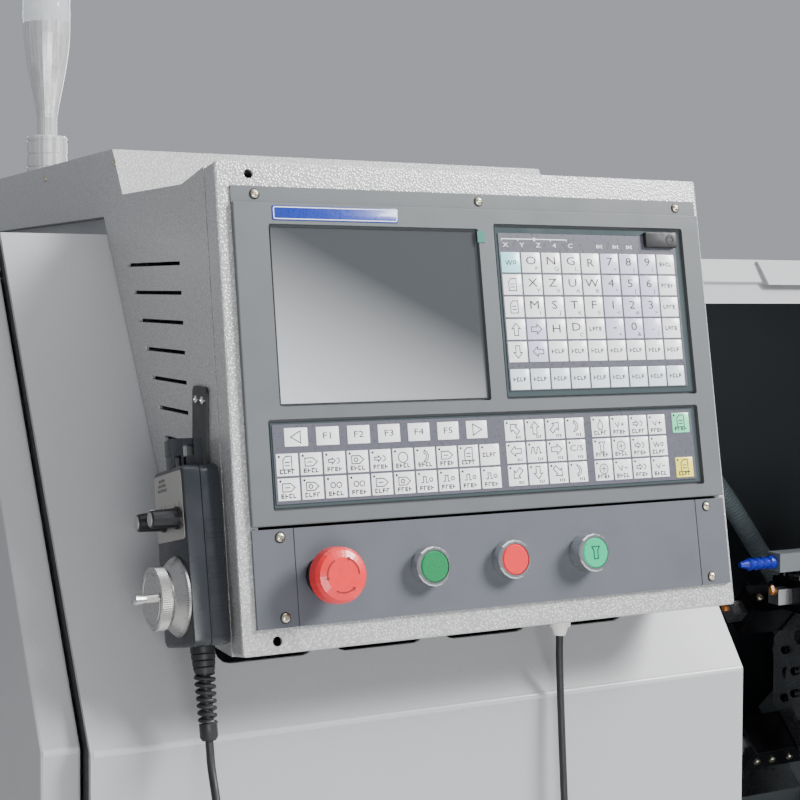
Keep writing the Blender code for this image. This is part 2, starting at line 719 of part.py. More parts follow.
def cross_slide(frame, finish):
    """The cross slide with the turret head cast on it."""
    seat = -WAY_DROP + SADDLE_HEIGHT + GAP + GAP
    top = seat + SLIDE_HEIGHT
    left = SADDLE_LEFT + (SADDLE_LENGTH - SLIDE_WIDTH) / 2
    plate = [slanted(SLIDE_LOW, seat), slanted(SLIDE_HIGH, seat), slanted(SLIDE_HIGH, top),
             slanted(SLIDE_LOW, top)]
    slide = add("cross_slide", prism(plate, left, left + SLIDE_WIDTH), finish["iron"], frame)
    reach = TURRET_HEAD_RADIUS
    crown = [slanted(TURRET_OFFSET + x, y) for x, y in arc((0, 0), reach, 0, 180, ARC_STEPS)]
    head = [slanted(TURRET_OFFSET - reach, top - EDGE), slanted(TURRET_OFFSET + reach, top - EDGE), *crown]
    back = TURRET_FACE + TURRET_THICKNESS + GAP
    join(slide, prism(head, back, left + SLIDE_WIDTH - WAY_INSET))
    _, depth, height = turret_centre()
    half = NOZZLE_ARM / 2
    tip = height + NOZZLE_RISE
    join(slide, box((back + EDGE, depth - half, height), (back + WAY_RISE, depth + half, tip)),
         box((NOZZLE_ARM_LEFT, depth - half, tip - half), (back + WAY_RISE, depth + half, tip + half)))
    return slide


def turret_centre():
    """Axis of the turret."""
    return (0.0, *slanted(TURRET_OFFSET, 0))


def turret_disc(frame, finish):
    """The eight-sided tool disc with its round hub."""
    centre = turret_centre()
    outline = []
    for index in range(TURRET_SIDES):
        angle = math.tau * (index + 0.5) / TURRET_SIDES
        outline.append((centre[1] + TURRET_RADIUS * math.cos(angle),
                        centre[2] + TURRET_RADIUS * math.sin(angle)))
    disc = add("turret_disc", prism(outline, TURRET_FACE, TURRET_FACE + TURRET_THICKNESS),
               finish["steel"], frame, bevel=EDGE)
    hub = cylinder(centre, TURRET_RADIUS / 2, TURRET_FACE - WAY_INSET, TURRET_FACE + OVERRUN)
    join(disc, hub)
    socket = []
    for index in range(TURRET_SIDES):
        angle = math.tau * index / TURRET_SIDES
        reach = TURRET_RADIUS * math.cos(math.pi / TURRET_SIDES) - HOLDER_WIDTH / 2
        place = (0, centre[1] + reach * math.cos(angle), centre[2] + reach * math.sin(angle))
        socket.append(cylinder(place, OVERRUN, TURRET_FACE - OVERRUN, TURRET_FACE + WAY_INSET,
                               "X", SMALL_STEPS))
    return cut(disc, *socket)


def tool_station(angle_share):
    """(y, z) of a tool seat on the rim, and its angle."""
    centre = turret_centre()
    angle = math.tau * angle_share
    reach = TURRET_RADIUS * math.cos(math.pi / TURRET_SIDES) + GAP
    return (centre[1] + reach * math.cos(angle), centre[2] + reach * math.sin(angle)), angle


def tool_holders(frame, finish):
    """Two turning-tool blocks and a boring-bar holder on the rim of the turret."""
    for name, station in TOOL_STATIONS.items():
        place, angle = tool_station(station / TURRET_SIDES)
        block = box((TURRET_FACE - HOLDER_LENGTH, -HOLDER_WIDTH / 2, 0),
                    (TURRET_FACE + TURRET_THICKNESS / 2, HOLDER_WIDTH / 2, HOLDER_HEIGHT))
        holder = add(name, block, finish["black_steel"], frame, bevel=EDGE)
        holder.location = (0, *place)
        holder.rotation_euler = (angle - math.pi / 2, 0, 0)
    place, angle = tool_station(BORING_STATION / TURRET_SIDES)
    body = box((TURRET_FACE - HOLDER_LENGTH, -HOLDER_WIDTH / 2, 0),
               (TURRET_FACE + TURRET_THICKNESS / 2, HOLDER_WIDTH / 2, HOLDER_HEIGHT + EDGE))
    boring = add("boring_bar_holder", body, finish["black_steel"], frame, bevel=EDGE)
    boring.location = (0, *place)
    boring.rotation_euler = (angle - math.pi / 2, 0, 0)


def tailstock(frame, finish):
    """The tailstock body on the ways, and its quill with the centre."""
    right = TAILSTOCK_LEFT + TAILSTOCK_LENGTH
    outline = on_ways(TAILSTOCK_RADIUS, BED_LOW_REACH - WAY_INSET, BED_HIGH_REACH - WAY_INSET)
    body = add("tailstock", prism(outline, TAILSTOCK_LEFT, right), finish["iron"], frame, bevel=EDGE)
    centre = (0, SPINDLE_DEPTH, SPINDLE_HEIGHT)
    bottom = TAILSTOCK_LEFT + TAILSTOCK_LENGTH * QUILL_BORE_SHARE
    cut(body, cylinder(centre, QUILL_RADIUS + GAP, TAILSTOCK_LEFT - OVERRUN, bottom))
    nose = TAILSTOCK_LEFT - QUILL_REACH
    profile = [(nose - CENTRE_LENGTH, 0), (nose, QUILL_RADIUS / 2), (nose, QUILL_RADIUS - EDGE),
               (nose + EDGE, QUILL_RADIUS), (bottom - GAP, QUILL_RADIUS), (bottom - GAP, 0)]
    add("tailstock_quill", turned(profile, centre), finish["steel"], frame, origin=centre, smooth=True)


def end_panels(frame, finish):
    """The left and right end covers, pans that open to the inside."""
    def outline(low, high, rear, setback):
        return [(rear, low), (rear, high), (front_depth(high, setback), high),
                (setback, FRONT_BREAK_HEIGHT), (setback, low)]
    full = outline(SKIRT_HEIGHT, ROOF_HEIGHT, MACHINE_DEPTH, END_PANEL_SETBACK)
    inner = outline(SKIRT_HEIGHT + SHEET, ROOF_HEIGHT - SHEET, MACHINE_DEPTH - SHEET,
                    END_PANEL_SETBACK + SHEET)
    left = add("left_end_panel", prism(full, 0, END_PANEL_WIDTH), finish["grey"], frame, bevel=EDGE)
    cut(left, prism(inner, SHEET, END_PANEL_WIDTH + OVERRUN))
    right_face = MACHINE_LENGTH - END_PANEL_WIDTH
    full = outline(SKIRT_HEIGHT, ROOF_HEIGHT - ROOF_DROP, MACHINE_DEPTH, RIGHT_COVER_SETBACK)
    inner = outline(SKIRT_HEIGHT + SHEET, ROOF_HEIGHT - ROOF_DROP - SHEET, MACHINE_DEPTH - SHEET,
                    RIGHT_COVER_SETBACK + SHEET)
    right = add("right_end_panel", prism(full, right_face, MACHINE_LENGTH), finish["grey"], frame,
                bevel=EDGE)
    cut(right, prism(inner, right_face - OVERRUN, MACHINE_LENGTH - SHEET))


def front_cover(frame, finish):
    """The folded cover at the headstock, with its row of round-ended slots and two cable inlets."""
    cover = front_pan("front_cover", finish["grey"], frame, COVER_LEFT, COVER_RIGHT, 0,
                      COVER_DEPTH, SKIRT_HEIGHT, ROOF_HEIGHT)
    for index in range(SLOT_COUNT):
        left = SLOT_FIRST + SLOT_PITCH * index
        hole = stadium(left, left + SLOT_WIDTH, SLOT_LOW, SLOT_LOW + SLOT_HEIGHT)
        depth = front_depth(SLOT_LOW)
        cut(cover, prism(hole, depth - COVER_DEPTH, depth + COVER_DEPTH + OVERRUN, "Y"))
    for across in (PENDANT_INLET_ACROSS, CONSOLE_INLET_ACROSS):
        join(cover, cylinder((across, 0, INLET_HEIGHT), INLET_RADIUS, -INLET_LENGTH, SHEET / 2,
                             "Y", SMALL_STEPS))


def roof_panel(frame, finish):
    """The roof, with the raised kerb that carries the console's duct."""
    top = ROOF_HEIGHT - ROOF_DROP
    left = END_PANEL_WIDTH + GAP
    right = MACHINE_LENGTH - END_PANEL_WIDTH - GAP
    front = front_depth(top) + COVER_DEPTH + GAP
    roof = add("roof_panel", box((left, front, top - ROOF_THICKNESS),
                                 (right, MACHINE_DEPTH - SHEET - GAP, top)), finish["grey"], frame)
    kerb = box((PANEL_LEFT, front + COVER_DEPTH, top - EDGE),
               (PANEL_LEFT + PANEL_WIDTH, DUCT_REAR - COVER_DEPTH, DUCT_BOTTOM - GAP))
    join(roof, kerb)


def rear_panel(frame, finish):
    """The rear wall with the electrical cabinet's box in it, and the cabinet's hinged door."""
    left = END_PANEL_WIDTH + GAP
    right = MACHINE_LENGTH - END_PANEL_WIDTH - GAP
    face = MACHINE_DEPTH - CABINET_DOOR_THICKNESS - GAP
    back = face - SHEET
    top = ROOF_HEIGHT - ROOF_DROP - ROOF_THICKNESS - GAP
    wall = add("rear_panel", box((left, back, SKIRT_HEIGHT + SHEET + GAP), (right, face, top)),
               finish["grey"], frame)
    join(wall, box((CABINET_LEFT - SHEET, back - CABINET_DEPTH, CABINET_LOW - SHEET),
                   (CABINET_RIGHT + SHEET, back + SHEET / 2, CABINET_HIGH + SHEET)))
    cut(wall, box((CABINET_LEFT, back - CABINET_DEPTH + SHEET, CABINET_LOW),
                  (CABINET_RIGHT, face + OVERRUN, CABINET_HIGH)))
    hinge = (CABINET_LEFT - COVER_DEPTH, MACHINE_DEPTH, CABINET_LOW)
    door = box((CABINET_LEFT - COVER_DEPTH, face + GAP, CABINET_LOW - COVER_DEPTH),
               (CABINET_RIGHT + COVER_DEPTH, MACHINE_DEPTH, CABINET_HIGH + COVER_DEPTH))
    add("cabinet_door", door, finish["grey"], frame, origin=hinge, bevel=EDGE)


def right_cover(frame, finish):
    """The fixed cover that the open door stands in front of."""
    left = COVER_RIGHT + DOOR_CLEARANCE + DOOR_WIDTH - COVER_DEPTH
    right = MACHINE_LENGTH - END_PANEL_WIDTH - GAP
    front_pan("right_cover", finish["grey"], frame, left, right, RIGHT_COVER_SETBACK,
              COVER_DEPTH, SILL_HEIGHT + GAP, HEADER_LOW - GAP)


def sill_cover(frame, finish):
    """The lower front cover below the doorway; the door runs on its top."""
    left = COVER_RIGHT + GAP
    sill = add("sill_cover", box((left, 0, SKIRT_HEIGHT), (MACHINE_LENGTH, RIGHT_COVER_SETBACK
                                                           + COVER_DEPTH, SILL_HEIGHT)),
               finish["grey"], frame)
    cut(sill, box((left + SHEET, SHEET, SKIRT_HEIGHT + SHEET),
                  (MACHINE_LENGTH - SHEET, MACHINE_DEPTH, SILL_HEIGHT - SHEET)),
        box((MACHINE_LENGTH - END_PANEL_WIDTH - GAP, RIGHT_COVER_SETBACK - GAP, SKIRT_HEIGHT - OVERRUN),
            (MACHINE_LENGTH + OVERRUN, MACHINE_DEPTH, SILL_HEIGHT + OVERRUN)))


def door_header(frame, finish):
    """The beam over the doorway: a lip, a lower beam and the rail's cover box."""
    left = COVER_RIGHT + GAP
    right = MACHINE_LENGTH - END_PANEL_WIDTH - GAP
    top = ROOF_HEIGHT - ROOF_DROP - ROOF_THICKNESS - GAP
    roof = ROOF_HEIGHT - ROOF_DROP
    lip_low = roof - HEADER_LIP
    lip_back = front_depth(roof) + COVER_DEPTH
    back = front_depth(HEADER_LOW) + HEADER_DEPTH
    outline = [(front_depth(HEADER_LOW), HEADER_LOW), (back, HEADER_LOW), (back, top), (lip_back, top),
               (lip_back, roof), (front_depth(roof), roof),
               (front_depth(lip_low), lip_low), (front_depth(lip_low) + SHEET, lip_low - SHEET)]
    beam = add("door_header", prism(outline, left, right), finish["grey"], frame)
    hollow_low = HEADER_LOW + SHEET
    depth = front_depth(HEADER_LOW) + HEADER_WALL
    cut(beam, box((left + SHEET, depth + COVER_DEPTH, hollow_low),
                  (right - SHEET, depth + HEADER_DEPTH + OVERRUN, top - SHEET)))
    proud = RAIL_COVER_PROUD
    box_low = lip_low - SHEET
    cover = [(front_depth(box_low) - proud, box_low), (front_depth(box_low) + COVER_DEPTH, box_low),
             (front_depth(roof) + OVERRUN, roof - EDGE), (front_depth(roof) - proud, roof - EDGE)]
    join(beam, prism(cover, RAIL_COVER_LEFT, right - OVERRUN))


def sliding_door(frame, finish):
    """The door, parked open at the right, with its window and handle."""
    left = COVER_RIGHT + DOOR_CLEARANCE + DOOR_WIDTH
    right = left + DOOR_WIDTH
    low = SILL_HEIGHT + GAP
    door = front_pan("sliding_door", finish["grey"], frame, left, right, 0, DOOR_THICKNESS, low, DOOR_TOP)
    middle = (left + right) / 2
    pane_left = middle - WINDOW_WIDTH / 2
    pane_right = middle + WINDOW_WIDTH / 2
    opening = prism(stadium_free(pane_left, pane_right, WINDOW_LOW, WINDOW_HIGH, WAY_INSET),
                    -OVERRUN, front_depth(WINDOW_HIGH) + HEADER_DEPTH, "Y")
    cut(door, opening)
    glass = [(front_depth(WINDOW_LOW - WAY_INSET, SHEET + GAP), WINDOW_LOW - WAY_INSET),
             (front_depth(WINDOW_LOW - WAY_INSET, SHEET + GLASS_THICKNESS), WINDOW_LOW - WAY_INSET),
             (front_depth(WINDOW_HIGH + WAY_INSET, SHEET + GLASS_THICKNESS), WINDOW_HIGH + WAY_INSET),
             (front_depth(WINDOW_HIGH + WAY_INSET, SHEET + GAP), WINDOW_HIGH + WAY_INSET)]
    add("door_window", prism(glass, pane_left - WAY_INSET, pane_right + WAY_INSET), finish["glass"], frame)
    across = left + HANDLE_INSET
    half = HANDLE_LENGTH / 2
    centre = (across, -HANDLE_REACH + HANDLE_RADIUS, HANDLE_CENTRE_HEIGHT)
    bar = add("door_handle", cylinder(centre, HANDLE_RADIUS, -half, half, "Z", SMALL_STEPS),
              finish["steel"], frame, smooth=True)
    for side in (-1, 1):
        post = (across, 0, HANDLE_CENTRE_HEIGHT + side * (half - HANDLE_RADIUS - HANDLE_RADIUS))
        join(bar, cylinder(post, HANDLE_RADIUS * HANDLE_POST_SHARE, centre[1], -GAP, "Y",
                           SMALL_STEPS))


def stadium_free(left, right, low, high, radius):
    """An outline with rounded corners of a given radius."""
    return (arc((left + radius, low + radius), radius, 270, 180, ARC_STEPS)
            + arc((left + radius, high - radius), radius, 180, 90, ARC_STEPS)
            + arc((right - radius, high - radius), radius, 90, 0, ARC_STEPS)
            + arc((right - radius, low + radius), radius, 0, -90, ARC_STEPS))


def guards(frame, finish):
    """The dark sheet guards of the work area: at the headstock and along the rear."""
    rear = REAR_GUARD_DEPTH
    front = RIGHT_COVER_SETBACK + COVER_DEPTH + COVER_DEPTH
    lift = WAY_DROP - OVERRUN
    header_back = front_depth(HEADER_LOW) + HEADER_DEPTH + GAP
    low = slanted(-BED_LOW_REACH - WAY_RISE, -lift)
    high = slanted(BED_HIGH_REACH + WAY_RISE, -lift)
    outline = [(front, SILL_HEIGHT - PAD_INSET), (low[0], SILL_HEIGHT - PAD_INSET), low, high,
               (rear, high[1]), (rear, GUARD_TOP), (header_back, GUARD_TOP),
               (header_back, HEADER_LOW - GAP),
               (front_depth(HEADER_LOW) + COVER_DEPTH + COVER_DEPTH, HEADER_LOW - GAP),
               (front, FRONT_BREAK_HEIGHT)]
    wall = add("headstock_guard", prism(outline, GUARD_LEFT, GUARD_LEFT + SHEET), finish["dark"], frame)
    hole = cylinder((0, SPINDLE_DEPTH, SPINDLE_HEIGHT), SPINDLE_RADIUS + WAY_RISE,
                    GUARD_LEFT - OVERRUN, GUARD_LEFT + OVERRUN)
    cut(wall, hole)
    right = MACHINE_LENGTH - END_PANEL_WIDTH - PAD_RADIUS
    back = add("rear_guard", box((GUARD_LEFT, rear + GAP, BED_SHELF_HEIGHT + GAP),
                                 (right, rear + SHEET, GUARD_TOP)), finish["dark"], frame)
    for place in hose_ends():
        join(back, cylinder((place[0], rear, place[2]), HOSE_RADIUS + SHEET, -OVERRUN, EDGE, "Y",
                            SMALL_STEPS))


def hose_ends():
    """Where the corrugated hose meets the rear guard."""
    rear = REAR_GUARD_DEPTH - OVERRUN
    left = TURRET_FACE - HOSE_BACK
    return ((left, rear, GUARD_TOP - HOSE_DROP), (left + HOSE_SPAN, rear, BED_SHELF_HEIGHT + HOSE_RISE))


def coolant_hose(frame, finish):
    """The corrugated hose that bows out between its two bosses on the rear guard."""
    start, end = hose_ends()
    gap = GAP + GAP
    route = [(start[0], start[1] - gap, start[2]), (start[0], start[1] - HOSE_LEAD, start[2])]
    for across, down, bow in HOSE_SHARES:
        route.append((start[0] + (end[0] - start[0]) * across, start[1] - bow,
                      start[2] + (end[2] - start[2]) * down))
    route += [(end[0], end[1] - HOSE_LEAD, end[2]), (end[0], end[1] - gap, end[2])]
    tube("coolant_hose", route, HOSE_RADIUS, HOSE_RADIUS, finish["hose"], frame)


def coolant_nozzle(frame, finish):
    """The segmented nozzle on the turret head, pointing at the chuck."""
    _, depth, height = turret_centre()
    right = NOZZLE_ARM_LEFT - GAP
    bead = NOZZLE_REACH / (NOZZLE_BEADS + 1)
    profile = [(right, 0), (right, NOZZLE_RADIUS)]
    for index in range(NOZZLE_BEADS):
        start = right - bead * index
        profile += [(start - bead * BEAD_SHARE, NOZZLE_RADIUS),
                    (start - bead, NOZZLE_RADIUS * BEAD_WAIST_SHARE)]
    tip = right - bead * NOZZLE_BEADS
    profile += [(tip - bead, NOZZLE_RADIUS * NOZZLE_TIP_SHARE), (tip - bead, 0)]
    place = (depth, height + NOZZLE_RISE)
    add("coolant_nozzle", turned(profile, (0, *place), "X", SMALL_STEPS), finish["blue"], frame, smooth=True)


def smooth_route(points, step):
    """Points about one step apart on a smooth curve. The first and last stretches stay straight."""
    places = [Vector(point) for point in points]
    padded = [places[0] * 2 - places[1], *places, places[-1] * 2 - places[-2]]
    result = []
    straight = (places[0], places[-2])
    for a, b, c, d in zip(padded, padded[1:], padded[2:], padded[3:]):
        count = 1 if b in straight else max(1, round((c - b).length / step))
        for index in range(count):
            t = index / count
            result.append(0.5 * (2 * b + (c - a) * t + (2 * a - 5 * b + 4 * c - d) * t ** 2
                                 + (3 * b - a - 3 * c + d) * t ** 3))
    result.append(places[-1])
    return result


def tube(name, route, radius, step, finish, parent):
    """A round tube with closed ends along a route."""
    curve = bpy.data.curves.new(name, "CURVE")
    curve.dimensions = "3D"
    curve.bevel_depth = radius
    curve.bevel_resolution = 2
    curve.use_fill_caps = True
    points = smooth_route(route, step)
    spline = curve.splines.new("POLY")
    spline.points.add(len(points) - 1)
    for point, place in zip(spline.points, points):
        point.co = (*place, 1.0)
    curve.materials.append(finish)
    made = bpy.data.objects.new(name, curve)
    made.parent = parent
    bpy.context.scene.collection.objects.link(made)
    return made


def seam_depth(height):
    """Depth of the seam between the console's front pan and its housing, at a height."""
    drop = (PANEL_TOP_HEIGHT - height) / math.cos(TILT)
    return (RIM_DEPTH + GAP) / math.cos(TILT) - drop * math.sin(TILT)


def panel_point(down, depth):
    """(y, z) of a place on the console's tilted panel."""
    return (-down * math.sin(TILT) + depth * math.cos(TILT),
            PANEL_TOP_HEIGHT - down * math.cos(TILT) - depth * math.sin(TILT))


def console_housing(frame, finish):
    """The sheet-metal housing behind the console's front, with its vents and its duct."""
    left = PANEL_LEFT - MARGIN_LEFT
    right = PANEL_LEFT + PANEL_WIDTH + MARGIN_RIGHT
    top = panel_point(-MARGIN_TOP, RIM_DEPTH + GAP)
    bottom = panel_point(PANEL_HEIGHT + MARGIN_BOTTOM, RIM_DEPTH + GAP)
    rise = DUCT_TOP - HOOD_FLAT_HEIGHT
    outline = [top, (HOOD_FLAT_FRONT, HOOD_FLAT_HEIGHT), (HOOD_FLAT_BACK, HOOD_FLAT_HEIGHT),
               (HOOD_FLAT_BACK + rise * SLOPE, DUCT_TOP), (DUCT_REAR, DUCT_TOP), (DUCT_REAR, DUCT_BOTTOM),
               (front_depth(DUCT_BOTTOM) - EDGE, DUCT_BOTTOM),
               (front_depth(bottom[1]) - EDGE, bottom[1]), bottom]
    outline.reverse()
    hollow = inset(outline, SHEET)
    hollow[0] = panel_point(PANEL_HEIGHT + MARGIN_BOTTOM - SHEET, RIM_DEPTH - OVERRUN)
    hollow[-1] = panel_point(-MARGIN_TOP + SHEET, RIM_DEPTH - OVERRUN)
    housing = add("console_housing", prism(outline, left, right), finish["silver"], frame)
    cut(housing, prism(hollow, left + SHEET, right - SHEET))
    for index in range(VENT_COUNT):
        height = VENT_FIRST_HEIGHT - VENT_PITCH * index
        start = seam_depth(height) + VENT_FRONT_MARGIN
        end = front_depth(height) - VENT_BACK_MARGIN
        vent = box((left - OVERRUN, start, height - VENT_HEIGHT / 2),
                   (left + OVERRUN, end, height + VENT_HEIGHT / 2))
        cut(housing, vent)


def console_cover(panel, finish):
    """The console's front pan: rounded face, a cut-out for the controller, two mounting holes."""
    face = prism(stadium_free(-MARGIN_LEFT, PANEL_WIDTH + MARGIN_RIGHT, -PANEL_HEIGHT - MARGIN_BOTTOM,
                              MARGIN_TOP, RIM_ROUND), 0, RIM_DEPTH, "Y")
    cover = add("console_cover", face, finish["silver"], panel)
    edge = cover.modifiers.new("face_round", "BEVEL")
    edge.width = RIM_ROUND * COVER_EDGE_SHARE
    edge.segments = 2
    edge.limit_method = "ANGLE"
    edge.angle_limit = math.radians(SHARP_DEG)
    cut(cover, box((-MARGIN_LEFT + SHEET, SHEET, -PANEL_HEIGHT - MARGIN_BOTTOM + SHEET),
                   (PANEL_WIDTH + MARGIN_RIGHT - SHEET, RIM_DEPTH + OVERRUN, MARGIN_TOP - SHEET)),
        box((BEZEL_BODY_INSET - EDGE, -OVERRUN, -PANEL_HEIGHT + BEZEL_BODY_INSET - EDGE),
            (PANEL_WIDTH - BEZEL_BODY_INSET + EDGE, RIM_DEPTH, -BEZEL_BODY_INSET + EDGE)))
    hole = COVER_HOLE_INSET - MARGIN_LEFT
    for height in (MARGIN_TOP / 2, -PANEL_HEIGHT - MARGIN_BOTTOM / 2):
        cut(cover, cylinder((hole, 0, height), COVER_HOLE_RADIUS, -OVERRUN, OVERRUN, "Y", SMALL_STEPS))


def controller_bezel(panel, finish):
    """The controller's front: top flange, raised bezel with three windows, body behind."""
    top = -FLANGE_HEIGHT
    slab = add("controller_bezel", box((0, -BEZEL_PROUD, -BEZEL_BOTTOM), (PANEL_WIDTH, -GAP, top)),
               finish["bezel"], panel, bevel=EDGE / 2)
    join(slab, box((0, -FLANGE_THICKNESS, top - EDGE), (PANEL_WIDTH, -GAP, 0)),
         box((BEZEL_BODY_INSET, -FLANGE_THICKNESS, -BEZEL_BOTTOM + BEZEL_BODY_INSET),
             (PANEL_WIDTH - BEZEL_BODY_INSET, BEZEL_BODY_DEPTH, -BEZEL_BODY_INSET)))
    radius = EDGE
    for left, right, high, low in ((SCREEN_LEFT, SCREEN_RIGHT, SCREEN_TOP, SCREEN_BOTTOM),
                                   (KEYS_LEFT, KEYS_RIGHT, KEYS_TOP, KEYS_BOTTOM),
                                   (FUNCTION_LEFT, FUNCTION_RIGHT, FUNCTION_TOP, FUNCTION_BOTTOM)):
        pocket = prism(stadium_free(left, right, -low, -high, radius),
                       -BEZEL_PROUD - OVERRUN, WINDOW_DEPTH - BEZEL_PROUD, "Y")
        cut(slab, pocket)


def lcd_screen(panel, finish):
    """The screen's glass."""
    back = WINDOW_DEPTH - BEZEL_PROUD - GAP
    rim = EDGE + GAP
    add("lcd_screen", box((SCREEN_LEFT + rim, back - FILM_THICKNESS, -SCREEN_BOTTOM + rim),
                          (SCREEN_RIGHT - rim, back, -SCREEN_TOP - rim)), finish["screen"], panel)


def key_plate(name, lines_across, lines_up, is_key, finish, panel):
    """A film with raised keys. The cells between the lines that are keys stand up a little."""
    back = WINDOW_DEPTH - BEZEL_PROUD - GAP
    face = back - FILM_THICKNESS
    shape = bmesh.new()
    grid = [[shape.verts.new((x, face, z)) for x in lines_across] for z in lines_up]
    keys = []
    for row in range(len(lines_up) - 1):
        for column in range(len(lines_across) - 1):
            made = shape.faces.new((grid[row][column], grid[row][column + 1],
                                    grid[row + 1][column + 1], grid[row + 1][column]))
            if is_key(column, row):
                keys.append(made)
    bmesh.ops.inset_individual(shape, faces=keys, thickness=KEY_EDGE, depth=KEY_RISE)
    rim = [edge for edge in shape.edges if edge.is_boundary]
    grown = bmesh.ops.extrude_edge_only(shape, edges=rim)
    moved = [item for item in grown["geom"] if isinstance(item, bmesh.types.BMVert)]
    bmesh.ops.translate(shape, verts=moved, vec=(0, FILM_THICKNESS, 0))
    bmesh.ops.holes_fill(shape, edges=[edge for edge in shape.edges if edge.is_boundary], sides=0)
    return add(name, shape, finish, panel)


def keypads(panel, finish):
    """The two membrane keypads."""
    rim = EDGE + GAP
    left = KEYS_LEFT + KEY_COLUMN_MARGIN
    pitch = (KEYS_RIGHT - KEY_RIGHT_MARGIN - left) / KEY_COLUMNS
    across = [KEYS_LEFT + rim, *(left + pitch * i for i in range(KEY_COLUMNS + 1)), KEYS_RIGHT - rim]
    first = -KEYS_TOP - KEY_HEADER
    up = [-KEYS_TOP - rim, *(first - KEY_ROW_PITCH * i for i in range(KEY_ROWS + 1))]
    last = first - KEY_ROW_PITCH * KEY_ROWS - KEY_ROW_BREAK
    up += [last, last - KEY_LAST_ROW_HEIGHT, -KEYS_BOTTOM + rim]
    key_plate("keypad_main", across, up,
              lambda column, row: 0 < column <= KEY_COLUMNS and row not in (0, KEY_ROWS + 1, KEY_ROWS + 3),
              finish["film"], panel)
    groups = []
    for start, count, end in FUNCTION_GROUPS:
        groups += [start + (end - start) * i / count for i in range(count + 1)]
    across = [FUNCTION_LEFT + rim, *groups, FUNCTION_RIGHT - rim]
    start = -FUNCTION_TOP - FUNCTION_MARGIN
    up = [-FUNCTION_TOP - rim, *(start - FUNCTION_ROW_PITCH * i for i in range(FUNCTION_ROWS + 1)),
          -FUNCTION_BOTTOM + rim]
    gaps = set()
    place = 0
    for _, count, _ in FUNCTION_GROUPS:
        gaps.add(place)
        place += count + 1
    gaps.add(place)
    last_group = place - 1
    first_group = FUNCTION_GROUPS[0][1]
    plate = key_plate("keypad_function", across, up,
                      lambda column, row: column not in gaps and 0 < row <= FUNCTION_ROWS
                      and not (column == last_group and row == 2)
                      and not (column <= first_group and row == 1),
                      finish["film"], panel)
    back = WINDOW_DEPTH - BEZEL_PROUD - GAP
    face = back - FILM_THICKNESS
    for index in range(SOFT_KEYS):
        start = SOFT_KEY_LEFT + SOFT_KEY_PITCH * index
        join(plate, box((start, face - KEY_RISE, -SOFT_KEY_TOP - SOFT_KEY_HEIGHT),
                        (start + SOFT_KEY_WIDTH, (face + back) / 2, -SOFT_KEY_TOP)))


def button_panel(panel, finish):
    """The lower plate with its two seams and the holes for the buttons."""
    plate = add("button_panel", box((0, -BUTTON_PANEL_THICKNESS, -PANEL_HEIGHT),
                                    (PANEL_WIDTH, -GAP, -BUTTONS_TOP)), finish["button_plate"], panel)
    for across in (SEAM_LEFT, SEAM_RIGHT):
        cut(plate, box((across, -BUTTON_PANEL_THICKNESS - OVERRUN, -PANEL_HEIGHT - OVERRUN),
                       (across + SEAM_WIDTH, -BUTTON_PANEL_THICKNESS + SEAM_DEPTH, -BUTTONS_TOP + OVERRUN)))
    for across in (ESTOP_ACROSS, GREEN_ACROSS, RED_ACROSS, LIT_ACROSS):
        cut(plate, cylinder((across, 0, -BUTTON_LINE), BARREL_RADIUS + GAP, -OVERRUN, OVERRUN, "Y",
                            SMALL_STEPS))


def button(name, across, ring_height, cap_finish, panel, finish):
    """A button: a ring with its barrel through the plate, and a cap that slides in it."""
    centre = (across, 0, -BUTTON_LINE)
    seat = -BUTTON_PANEL_THICKNESS - GAP
    front = seat - ring_height
    wall = CAP_RADIUS + GAP
    floor = front + CAP_TRAVEL + CAP_TRAVEL
    ring = [(BARREL_DEPTH, 0), (BARREL_DEPTH, BARREL_RADIUS - EDGE / 4), (seat, BARREL_RADIUS - EDGE / 4),
            (seat, RING_RADIUS), (front + EDGE / 2, RING_RADIUS), (front, RING_RADIUS - EDGE / 2),
            (front, wall), (floor, wall), (floor, 0)]
    add(name + "_button_ring", turned(ring, centre, "Y", SMALL_STEPS), finish["chrome"], panel, smooth=True)
    crown = front - EDGE / 4
    cap = [(floor - CAP_TRAVEL - GAP, 0), (floor - CAP_TRAVEL - GAP, CAP_RADIUS),
           (crown + EDGE / 2, CAP_RADIUS), (crown, CAP_RADIUS - EDGE / 2), (crown, 0)]
    add(name + "_button_cap", turned(cap, centre, "Y", SMALL_STEPS), cap_finish, panel, origin=centre,
        smooth=True)


def emergency_stop(panel, finish):
    """The emergency stop: a black collar and a mushroom head on its stem."""
    centre = (ESTOP_ACROSS, 0, -BUTTON_LINE)
    seat = -BUTTON_PANEL_THICKNESS - GAP
    front = seat - ESTOP_COLLAR_HEIGHT
    stem = ESTOP_STEM_RADIUS
    collar = [(BARREL_DEPTH, 0), (BARREL_DEPTH, BARREL_RADIUS - EDGE / 4), (seat, BARREL_RADIUS - EDGE / 4),
              (seat, ESTOP_COLLAR_RADIUS), (front, ESTOP_COLLAR_RADIUS - EDGE / 2),
              (front, stem + GAP), (seat, stem + GAP), (seat, 0)]
    add("estop_collar", turned(collar, centre, "Y", SMALL_STEPS), finish["black"], panel, smooth=True)
    under = front - ESTOP_TRAVEL - GAP
    face = under - ESTOP_HEAD_HEIGHT
    radius = ESTOP_HEAD_RADIUS
    bottom = seat - ESTOP_TRAVEL - GAP
    profile = [(bottom, 0), (bottom, stem), (under, stem), (under, radius - EDGE), (under - EDGE, radius)]
    profile += [(face + EDGE * rise, radius * share) for rise, share in HEAD_CROWN_SHARES]
    profile.append((face, 0))
    add("estop_head", turned(profile, centre, "Y"), finish["red"], panel, origin=centre, smooth=True)


